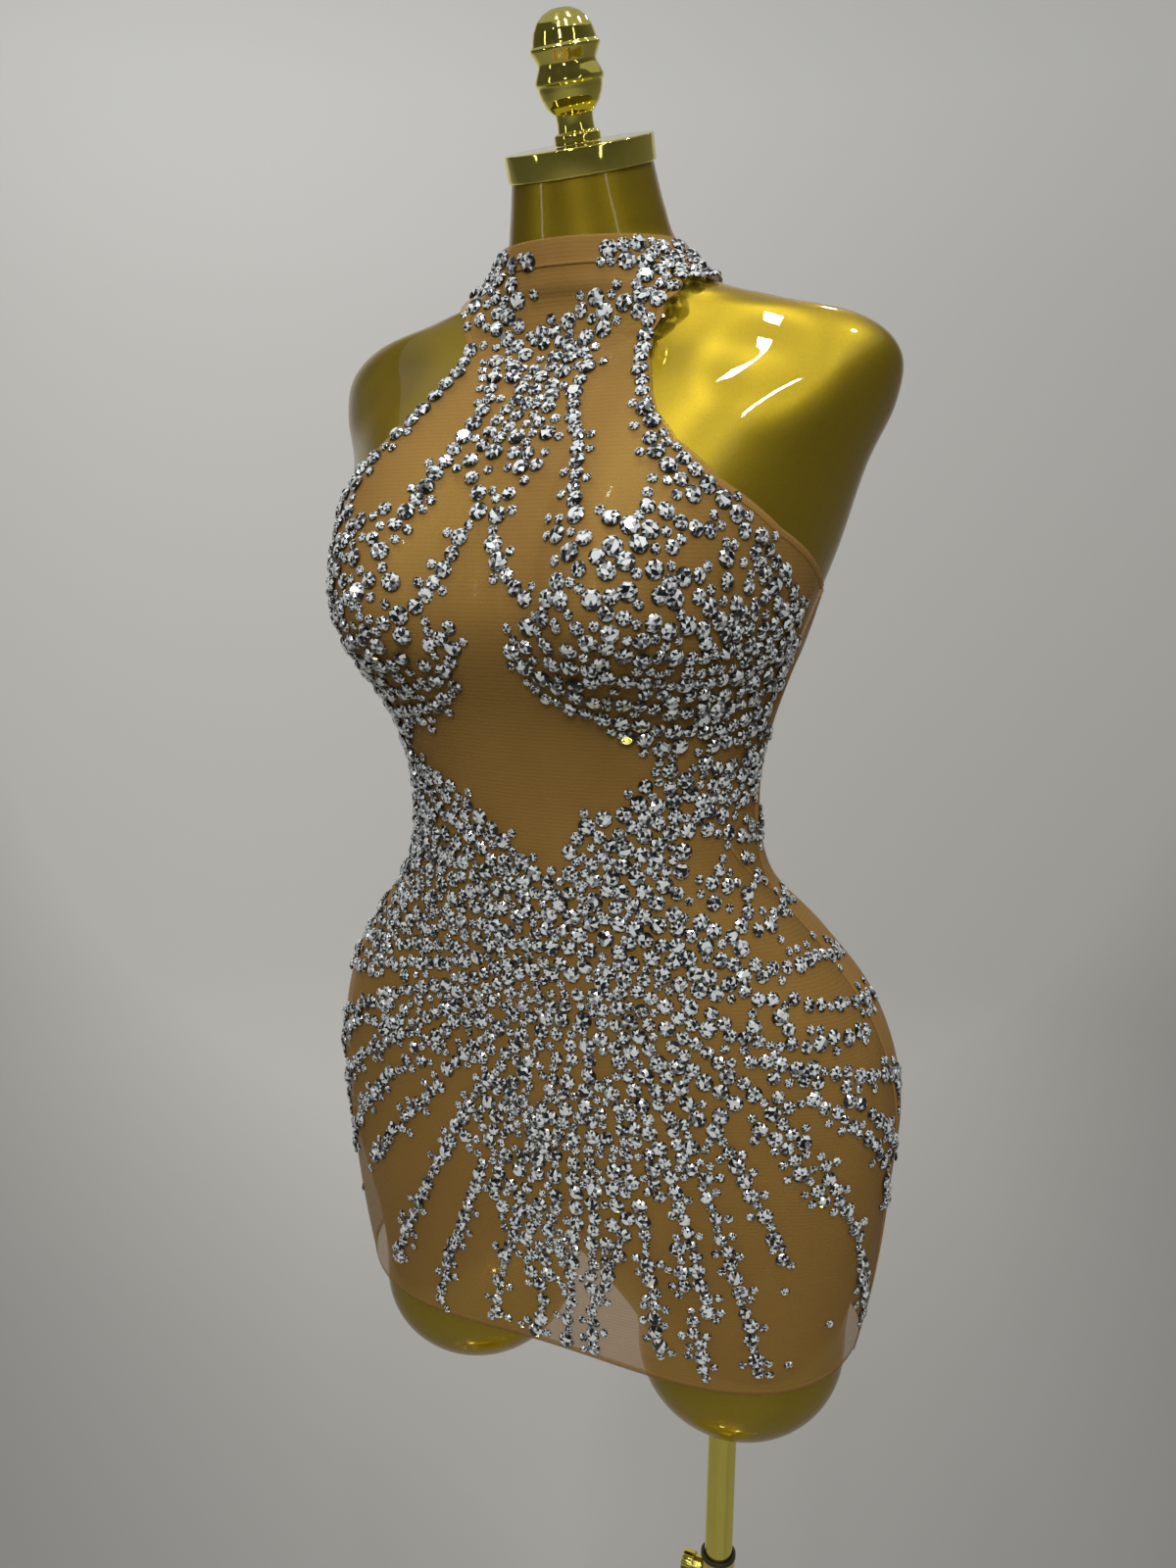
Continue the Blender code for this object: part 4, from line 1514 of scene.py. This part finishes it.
class StoneWork:
    """Lays out the crystals on the cloth and builds them as joined meshes."""

    big, middle, small = 0.0101, 0.0085, 0.0058
    big_over, small_under = 0.0092, 0.0070
    size_spread = (0.95, 1.05)
    lift = 0.0028
    seed = 11
    # Shares of big and middle crystals in a strand, and in a thin trail.
    strand_shares, trail_shares = (0.48, 0.38), (0.18, 0.42)
    # Rows of a strand: their distance, how far each lags, and how far a crystal strays, metres.
    row_gap, row_lag, stray = 0.0076, 0.003, 0.0011
    # Least distance between middles over the sum of the radii.
    strand_spacing, field_spacing, small_spacing, tuck_spacing = 0.88, 0.86, 0.84, 0.96
    # Limits of the layout: stations where the collar takes over from the armhole, the hem's margin,
    # the share of the collar's height, and the angles allowed below the armpit and on the collar.
    collar_from, pull_to, hem_margin, collar_share = 16.6, 16.2, 0.10, 0.86
    skirt_angle, collar_angle = 2.2, 3.0
    # Painted light: shares of dark and pale facets for each ring of the cut, and the tones that they take.
    # Dark facets are painted dark reflections and painted shade at the girdle and underside; pale ones are
    # painted reflections of lights.
    painted_dark_shares = (0.30, 0.40, 0.40, 0.64, 1.0)
    painted_pale_shares = (0.46, 0.40, 0.40, 0.10, 0.0)
    dark_grey, mid_grey, pale_grey = 0.12, 0.46, 0.86
    # Seams between the left and right pieces, by angle.
    split_angle = math.radians(12)

    def __init__(self, skin: Skin) -> None:
        """Start an empty layout on the given skin.

        Args:
            skin: the form's skin and cloth.
        """
        self.skin = skin
        self.random = np.random.default_rng(self.seed)
        self.spots = np.empty((0, 3))
        self.places = np.empty((0, 2))
        self.sizes = np.empty(0)
        self.tucks = np.empty(0)

    def on_cloth(self, places: Array) -> tuple[Array, Array, Array]:
        """Points, normals and stations of (angle in radians, height in metres) places.

        Args:
            places: (angle, height) pairs.

        Returns:
            The three, one for each place.
        """
        station = self.skin.station_at(places[:, 1])
        return (self.skin.cloth(station, places[:, 0], self.lift),
                self.skin.normal(station, places[:, 0]), station)

    def keep_inside(self, places: Array, sizes: Array) -> Array:
        """Which places lie inside the front panel with room for their crystal.

        Args:
            places: (angle, height) pairs.
            sizes: the crystals' diameters.

        Returns:
            A true or false value each.
        """
        station = self.skin.station_at(places[:, 1])
        edge = np.where(station < self.skin.armpit, self.skirt_angle, self.skin.armhole(station))
        edge = np.where(station > self.collar_from, self.collar_angle, edge)
        top = self.skin.collar_station(places[:, 0], self.collar_share)
        low = self.skin.hem_station(places[:, 0]) + self.hem_margin
        inside = np.abs(places[:, 0]) < edge - 0.42 * sizes / self.per_radian(places)
        return inside & (station < top) & (station > low)

    def add(self, places: Array, sizes: Array, tuck: float, spacing: float) -> None:
        """Lay crystals one after another, leaving out those that would overlap one laid before.

        Args:
            places: (angle in radians, height in metres) pairs, in order of preference.
            sizes: diameters.
            tuck: share of small crystals to tuck beside each.
            spacing: least distance between middles over the sum of the radii.
        """
        if not len(places):
            return
        held = self.keep_inside(places, sizes)
        places, sizes = places[held], sizes[held]
        spots = self.on_cloth(places)[0]
        laid = np.concatenate([self.spots, np.zeros_like(spots)])
        widths = np.concatenate([self.sizes, np.zeros_like(sizes)])
        count = start = len(self.spots)
        chosen = []
        for number, (spot, size) in enumerate(zip(spots, sizes)):
            room = 0.5 * spacing * (widths[:count] + size)
            offset = laid[:count] - spot
            if count and (np.einsum("ij,ij->i", offset, offset) < room * room).any():
                continue
            laid[count], widths[count] = spot, size
            chosen.append(number)
            count += 1
        self.spots, self.sizes = laid[:count], widths[:count]
        self.places = np.concatenate([self.places, places[chosen]])
        self.tucks = np.concatenate([self.tucks, np.full(count - start, tuck)])

    def pick_sizes(self, count: int, shares: tuple[float, float]) -> Array:
        """Random diameters: big and middle crystals by their shares, the rest small.

        Args:
            count: how many.
            shares: the shares of big and middle ones.

        Returns:
            Diameters, metres.
        """
        draw = self.random.random(count)
        lesser = np.where(draw < sum(shares), self.middle, self.small)
        size = np.where(draw < shares[0], self.big, lesser)
        return size * self.random.uniform(*self.size_spread, count)

    def along(self, points: Array, lay: Lay) -> None:
        """Lay crystals along a smooth curve.

        The curve is a Catmull-Rom curve through the points; crystals follow each other by their own
        diameters, and the rows of a thick strand lie side by side.

        Args:
            points: (angle in degrees, height in millimetres) pairs.
            lay: how thickly the strand is laid.
        """
        rows, tuck = lay.value
        share = np.linspace(0, len(points) - 1, 60 * len(points))
        angle = np.radians(spline(points[:, 0], share))
        height = spline(points[:, 1], share) / 1000
        line = self.on_cloth(np.column_stack([angle, height]))[0]
        travel = travelled(line)
        count = int(travel[-1] / self.small)
        shares = self.trail_shares if lay is Lay.TRAIL else self.strand_shares
        for row in range(rows):
            sizes = self.pick_sizes(count, shares)
            reach = np.cumsum(sizes) - sizes / 2 + row * self.row_lag
            sizes = sizes[reach < travel[-1]]
            reach = reach[reach < travel[-1]]
            stray = self.random.normal(0, self.stray, len(reach))
            aside = (row - (rows - 1) / 2) * self.row_gap + stray
            here, ahead, behind = (
                np.column_stack([np.interp(reach + step, travel, angle),
                                 np.interp(reach + step, travel, height)])
                for step in (0.0, 0.002, -0.002)
            )
            places = self.pulled_inside(self.shifted(here, ahead - behind, aside), sizes)
            self.add(places, sizes, tuck, self.strand_spacing)

    def pulled_inside(self, places: Array, sizes: Array) -> Array:
        """Move crystals that would cross the armhole's edge back to it.

        Args:
            places: (angle, height) pairs.
            sizes: diameters.

        Returns:
            The places, no nearer the edge than their own radius.
        """
        station = self.skin.station_at(places[:, 1])
        reach = self.skin.armhole(station) - 0.46 * sizes / self.per_radian(places)
        held = (station < self.skin.armpit) | (station > self.pull_to)
        limit = np.where(held, math.pi, np.maximum(reach, 0))
        return np.column_stack([np.clip(places[:, 0], -limit, limit), places[:, 1]])

    def per_radian(self, places: Array) -> Array:
        """Metres on the cloth for each radian round the form, at (angle, height) places.

        Args:
            places: (angle, height) pairs.

        Returns:
            Metres.
        """
        station = self.skin.station_at(places[:, 1])
        step = self.skin.body(station, places[:, 0] + 0.01, self.skin.bust_span)
        here = self.skin.body(station, places[:, 0], self.skin.bust_span)
        return np.linalg.norm(step - here, axis=-1) / 0.01

    def shifted(self, places: Array, heading: Array, aside: Array) -> Array:
        """Move places sideways from their heading by a distance on the cloth.

        Args:
            places: (angle, height) pairs.
            heading: direction of travel, in the same units.
            aside: distances, metres.

        Returns:
            The moved places.
        """
        per_radian = self.per_radian(places)
        flat = heading * np.column_stack([per_radian, np.ones_like(per_radian)])
        length = np.maximum(np.linalg.norm(flat, axis=-1), 1e-9)
        return places + np.column_stack([-flat[:, 1] * aside / length / per_radian,
                                         flat[:, 0] * aside / length])

    def scatter(self, corners: tuple, count: int, side: int) -> Array:
        """Random places inside an outline, by counting the edges that a line from each crosses.

        Args:
            corners: the outline, (angle in degrees, height in millimetres) pairs.
            count: how many places are drawn in the outline's box.
            side: 1, or -1 for the mirror image.

        Returns:
            (angle in radians, height in metres) pairs.
        """
        outline = np.array(corners, dtype=float) * (side, 1)
        low, high = outline.min(axis=0), outline.max(axis=0)
        tries = self.random.uniform(low, high, (count, 2))
        after = np.roll(outline, -1, axis=0)
        crosses = (outline[:, 1] > tries[:, 1:]) != (after[:, 1] > tries[:, 1:])
        slope = (after[:, 0] - outline[:, 0]) / (after[:, 1] - outline[:, 1] + 1e-9)
        reach = outline[:, 0] + slope * (tries[:, 1:] - outline[:, 1])
        inside = (crosses & (tries[:, :1] < reach)).sum(axis=1) % 2 == 1
        return tries[inside] * (math.pi / 180, 0.001)

    def fill(self, patch: Patch, side: int) -> None:
        """Fill a field with scattered big and middle crystals, the big ones first.

        Args:
            patch: the field.
            side: 1, or -1 for its mirror image.
        """
        places = self.scatter(patch.outline, patch.tries, side)
        half = len(places) // 2
        sizes = np.where(np.arange(len(places)) < half, self.big, self.middle)
        sizes = sizes * self.random.uniform(*self.size_spread, len(places))
        self.add(places, sizes, 0.7, self.field_spacing)

    def fill_small(self, patch: Patch, side: int) -> None:
        """Fill what is left of a field with small crystals.

        Args:
            patch: the field.
            side: 1, or -1 for its mirror image.
        """
        places = self.scatter(patch.outline, patch.small_tries, side)
        sizes = self.small * self.random.uniform(0.90, 1.06, len(places))
        self.add(places, sizes, 0.0, self.small_spacing)

    def rays(self) -> None:
        """Lay the hips' rays: each is a bent line from the hub, thicker in its first half."""
        hub = np.array(HUB, dtype=float)
        for angle, height, sag in RAYS:
            end = np.array((angle, height), dtype=float)
            share = np.linspace(0.10, 1, 9)[:, None]
            line = hub + share * (end - hub)
            line[:, 1] -= sag * np.sin(share[:, 0] * math.pi)
            self.along(line[:5], Lay.ROPE)
            self.along(line[4:], Lay.CORD)

    def tuck_small(self) -> None:
        """Tuck small crystals against the larger ones, at six bearings round each."""
        larger = np.flatnonzero(self.sizes > self.small_under)
        for _ in range(6):
            lucky = larger[self.random.random(len(larger)) < self.tucks[larger] * 0.5]
            size = self.small * self.random.uniform(0.92, 1.06, len(lucky))
            bearing = self.random.uniform(0, 2 * math.pi, len(lucky))
            reach = 0.5 * (self.sizes[lucky] + size) * 1.01
            places = self.places[lucky]
            for heading, share in (((1.0, 0.0), np.sin(bearing)), ((0.0, 1.0), np.cos(bearing))):
                places = self.shifted(places, np.tile(heading, (len(lucky), 1)), reach * share)
            self.add(places, size, 0.0, self.tuck_spacing)

    def lay_out(self) -> None:
        """Lay every strand, ray, field and single crystal."""
        for strand in STRANDS:
            for side in strand.sides:
                self.along(np.array(strand.points, dtype=float) * (side, 1), strand.lay)
        self.rays()
        for patch in PATCHES:
            for side in patch.sides:
                self.fill(patch, side)
        self.tuck_small()
        for patch in PATCHES:
            for side in patch.sides:
                self.fill_small(patch, side)
        single = np.array(SINGLES, dtype=float) * (math.pi / 180, 0.001)
        self.add(single, np.full(len(single), self.small), 0.0, self.strand_spacing)

    def joined_mesh(self, name: str, picked: Array, cut: StoneCut) -> bpy.types.Mesh:
        """One mesh of many crystals: each is the cut turned, tilted, scaled and set on the cloth.

        Args:
            name: the mesh's name.
            picked: which crystals go into it.
            cut: the crystal's shape.

        Returns:
            The mesh, with a painted light value for each face: painted reflections and painted shade.
        """
        spots, normals, _ = self.on_cloth(self.places[picked])
        count = len(spots)
        tilt = normals + self.random.normal(0, 0.07, (count, 3))
        outward = tilt / np.linalg.norm(tilt, axis=-1, keepdims=True)
        across = np.cross(outward, self.random.normal(0, 1, (count, 3)))
        across /= np.linalg.norm(across, axis=-1, keepdims=True)
        third = np.cross(outward, across)
        axes = np.stack([across, third, outward], axis=1)
        corners = cut.corners()
        points = np.einsum("vi,nij->nvj", corners, axes) * self.sizes[picked][:, None, None]
        points += world(spots)[:, None]
        facets, kinds = cut.facets()
        faces = facets[None] + (np.arange(count) * len(corners))[:, None, None]
        mesh = new_mesh(name, points, faces.reshape(-1, 3).tolist(), soft=False)
        # Painted light: each face draws a dark, middle or pale tone by its ring's shares; dark tones are
        # painted dark reflections and shade, pale ones painted reflections of lights.
        dark, pale = np.array(self.painted_dark_shares)[kinds], np.array(self.painted_pale_shares)[kinds]
        draw = self.random.random((count, len(kinds)))
        # Random spread of the painted tones, for each face and for each crystal.
        shade = self.random.uniform(-0.07, 0.07, (count, len(kinds)))
        shade = shade + self.random.normal(0, 0.04, (count, 1))
        other = np.where(draw > 1 - pale, self.pale_grey, self.mid_grey)
        grey = np.where(draw < dark, self.dark_grey, other) + shade
        values = np.clip(grey, 0, 1).astype(np.float32).ravel()
        mesh.attributes.new("painted_facet_light", "FLOAT", "FACE").data.foreach_set("value", values)
        return mesh

    def build(self, finishes: Finishes) -> None:
        """Lay out the crystals and build one joined piece for each size and side.

        Args:
            finishes: the object's materials.
        """
        self.lay_out()
        cut = StoneCut()
        left = self.places[:, 0] > self.split_angle
        big = self.sizes > self.big_over
        small = self.sizes < self.small_under
        for size, chosen in (("big", big), ("middle", ~big & ~small), ("small", small)):
            for label, half in (("left", left), ("right", ~left)):
                name = f"{size}_crystals_{label}"
                mesh = self.joined_mesh(name, np.flatnonzero(chosen & half), cut)
                make_piece(name, mesh, finishes.crystal, FORM_BODY)
        LOG.info("crystals laid: %d", len(self.sizes))


# The stand

@dataclass(frozen=True)
class Stand:
    """The telescopic pole, its thumb screw and the round base plate."""

    mast_radius: float = 0.0095
    mast_foot: float = 0.160
    mast_top: float = 0.732
    bore: float = 0.0099
    tube_radius: float = 0.0115
    tube_top: float = 0.588
    screw_drop: float = 0.014

    def build_pole(self, finishes: Finishes) -> None:
        """The mast, and the lower tube with its dark end ring.

        Args:
            finishes: the object's materials.
        """
        axis = Matrix.Translation((POLE_X, POLE_Y, 0))
        low, high, rim = self.tube_top + 0.0001, self.tube_top + 0.0024, self.tube_radius + 0.0004
        ring = ((self.bore, low), (rim, low), (rim, high), (self.bore, high))
        mesh = turned_mesh("end_ring", ring, TURNED_SIDES, axis)
        make_piece("end_ring", mesh, finishes.dark_ring, STAND_BODY)
        radius, foot, top = self.mast_radius, self.mast_foot, self.mast_top
        rod = ((0, foot), (radius, foot), (radius, top), (0, top))
        mesh = turned_mesh("mast_tube", rounded(rod, 0.0006), TURNED_SIDES, axis)
        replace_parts(make_piece("mast_tube", mesh, finishes.plate, MAST_BODY), "mast")

    def build_screw(self, finishes: Finishes) -> None:
        """The thumb screw's fluted head and plain shank, along the screw's own axis.

        Args:
            finishes: the object's materials.
        """
        low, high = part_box("clamp_screw")
        turn = Matrix.Translation((low[0], POLE_Y, self.tube_top - self.screw_drop))
        turn = turn @ Matrix.Rotation(math.pi / 2, 4, "Y")
        length = high[0] - low[0]
        head = ((0, 0), (0.0076, 0), (0.0080, 0.0012), (0.0080, 0.0068), (0.0076, 0.0080),
                (0.0025, 0.0080), (0.0025, length), (0, length))
        outline = rounded(head, 0.0004, 3)
        flutes = 0.965 + 0.035 * np.cos(12 * steps_round(TURNED_SIDES))
        knurl = np.where(outline[:, :1] > 0.005, flutes, 1.0)
        mesh = turned_mesh("thumb_screw", outline, TURNED_SIDES, turn, knurl)
        screw = make_piece("thumb_screw", mesh, finishes.plate, SCREW_BODY)
        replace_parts(screw, "clamp_screw")

    def build(self, finishes: Finishes) -> None:
        """Build the stand's pieces and dress the nodes that keep their own shape.

        Args:
            finishes: the object's materials.
        """
        self.build_pole(finishes)
        self.build_screw(finishes)
        for node in ("lower_tube", "base_plate"):
            item = bpy.data.objects[node]
            item.data.materials.clear()
            item.data.materials.append(finishes.plate)


# The studio

@dataclass(frozen=True)
class Studio:
    """Floor, backdrop, lights and camera."""

    azimuth: float = math.radians(24.6)
    pitch: float = math.radians(9.69)
    roll: float = math.radians(0.71)
    distance: float = 0.730
    height: float = 0.530
    lens: float = 27.0
    room_bend: float = 2.6
    room_reach: float = 5.6
    room_top: float = 6.0
    sky: tuple = (0.80, 0.81, 0.82, 1.0)
    sky_strength: float = 0.4
    lamp_height: float = 2.7
    lamp_size: float = 0.09
    lamp_power: float = 2.7
    lamp_places: tuple = ((0.05, -1.45), (0.60, -1.05), (1.10, -0.60), (-0.55, -1.9), (-0.25, -0.50),
                          (0.20, -0.15), (0.80, 0.15), (0.1, 1.2))

    def add_light(self, name: str, place: tuple, aim: tuple, size: tuple, power: float,
                  mirrored: bool = True) -> None:
        """One soft rectangular light turned towards a point.

        Args:
            name: the light's name.
            place: its middle.
            aim: the point that it faces.
            size: its width and height, metres.
            power: its strength, watts.
            mirrored: whether glossy surfaces show it.
        """
        data = bpy.data.lights.new(name, "AREA")
        data.shape = "RECTANGLE"
        data.size, data.size_y = size
        data.energy = power
        lamp = bpy.data.objects.new(name, data)
        bpy.context.scene.collection.objects.link(lamp)
        lamp.location = place
        lamp.visible_camera = False
        lamp.visible_glossy = mirrored
        lamp.rotation_euler = (Vector(aim) - Vector(place)).to_track_quat("-Z", "Y").to_euler()

    def build_room(self) -> None:
        """A pale round floor that curves up into a pale wall all round: a turned quarter round."""
        bend, reach = self.room_bend, self.room_reach
        curve = [(reach - bend + bend * math.sin(turn), bend - bend * math.cos(turn))
                 for turn in np.linspace(0, math.pi / 2, 17)]
        outline = np.array([(0.02, 0.0), *curve, (reach, self.room_top)])
        faces = grid_faces(len(outline), TURNED_SIDES, wrap=True).tolist()
        faces.append(list(range(TURNED_SIDES)))
        mesh = new_mesh("room", turned_points(outline, TURNED_SIDES), faces)
        room = bpy.data.objects.new("room", mesh)
        bpy.context.scene.collection.objects.link(room)
        mesh.materials.append(Backdrop().make(self.azimuth))

    def build_lights(self) -> None:
        """A soft key over the camera, small ceiling lamps, a wash on the wall and a dim sky."""
        centre = (0.0, FORM_Y, FORM_LIFT + 0.40)
        self.add_light("key", (0.75, -2.0, 2.45), centre, (1.1, 0.7), 33.0, False)
        self.add_light("window", (0.35, -2.3, 1.9), centre, (0.16, 0.42), 3.4)
        self.add_light("strip_left", (-1.5, -1.5, 1.6), centre, (0.10, 1.4), 1.6)
        self.add_light("strip_right", (1.6, -1.1, 1.6), centre, (0.10, 1.4), 1.3)
        self.add_light("wall_wash", (-2.2, 0.6, 3.6), (-0.9, 5.4, 1.4), (1.6, 1.0), 130.0, False)
        for number, (x, y) in enumerate(self.lamp_places):
            self.add_light(f"ceiling_lamp_{number}", (x, y, self.lamp_height), (x, y + 0.01, 0.0),
                           (self.lamp_size, self.lamp_size), self.lamp_power)
        world_data = bpy.data.worlds.new("studio")
        bpy.context.scene.world = world_data
        world_data.use_nodes = True
        back = world_data.node_tree.nodes["Background"]
        back.inputs["Color"].default_value = self.sky
        back.inputs["Strength"].default_value = self.sky_strength

    def build_camera(self) -> None:
        """The camera at the photograph's place, a little above the bust and to the wearer's left."""
        data = bpy.data.cameras.new("camera")
        data.lens = self.lens
        data.sensor_width = 36.0
        data.clip_start = 0.01
        camera = bpy.data.objects.new("camera", data)
        bpy.context.scene.collection.objects.link(camera)
        sin_az, cos_az = math.sin(self.azimuth), math.cos(self.azimuth)
        sin_p, cos_p = math.sin(self.pitch), math.cos(self.pitch)
        ahead = Vector((-sin_az * cos_p, cos_az * cos_p, -sin_p))
        right = Vector((cos_az, sin_az, 0))
        above = right.cross(ahead)
        rolled = right * math.cos(self.roll) + above * math.sin(self.roll)
        upright = above * math.cos(self.roll) - right * math.sin(self.roll)
        place = Vector((self.distance * sin_az, FORM_Y - self.distance * cos_az,
                        FORM_LIFT + self.height))
        camera.matrix_world = Matrix((rolled, upright, -ahead)).transposed().to_4x4()
        camera.location = place
        bpy.context.scene.camera = camera

    def build(self) -> None:
        """Build the whole studio."""
        self.build_room()
        self.build_lights()
        self.build_camera()
        bpy.context.scene.view_settings.view_transform = "Standard"


def main() -> None:
    """Build the studio, the form, the dress, its crystals and the stand."""
    logging.basicConfig(level=logging.INFO, format="%(message)s")
    finishes = Finishes.make_all()
    skin = Skin()
    Studio().build()
    DressForm(skin).build(finishes)
    Dress(skin).build(finishes)
    StoneWork(skin).build(finishes)
    Stand().build(finishes)


if __name__ == "__main__":
    main()
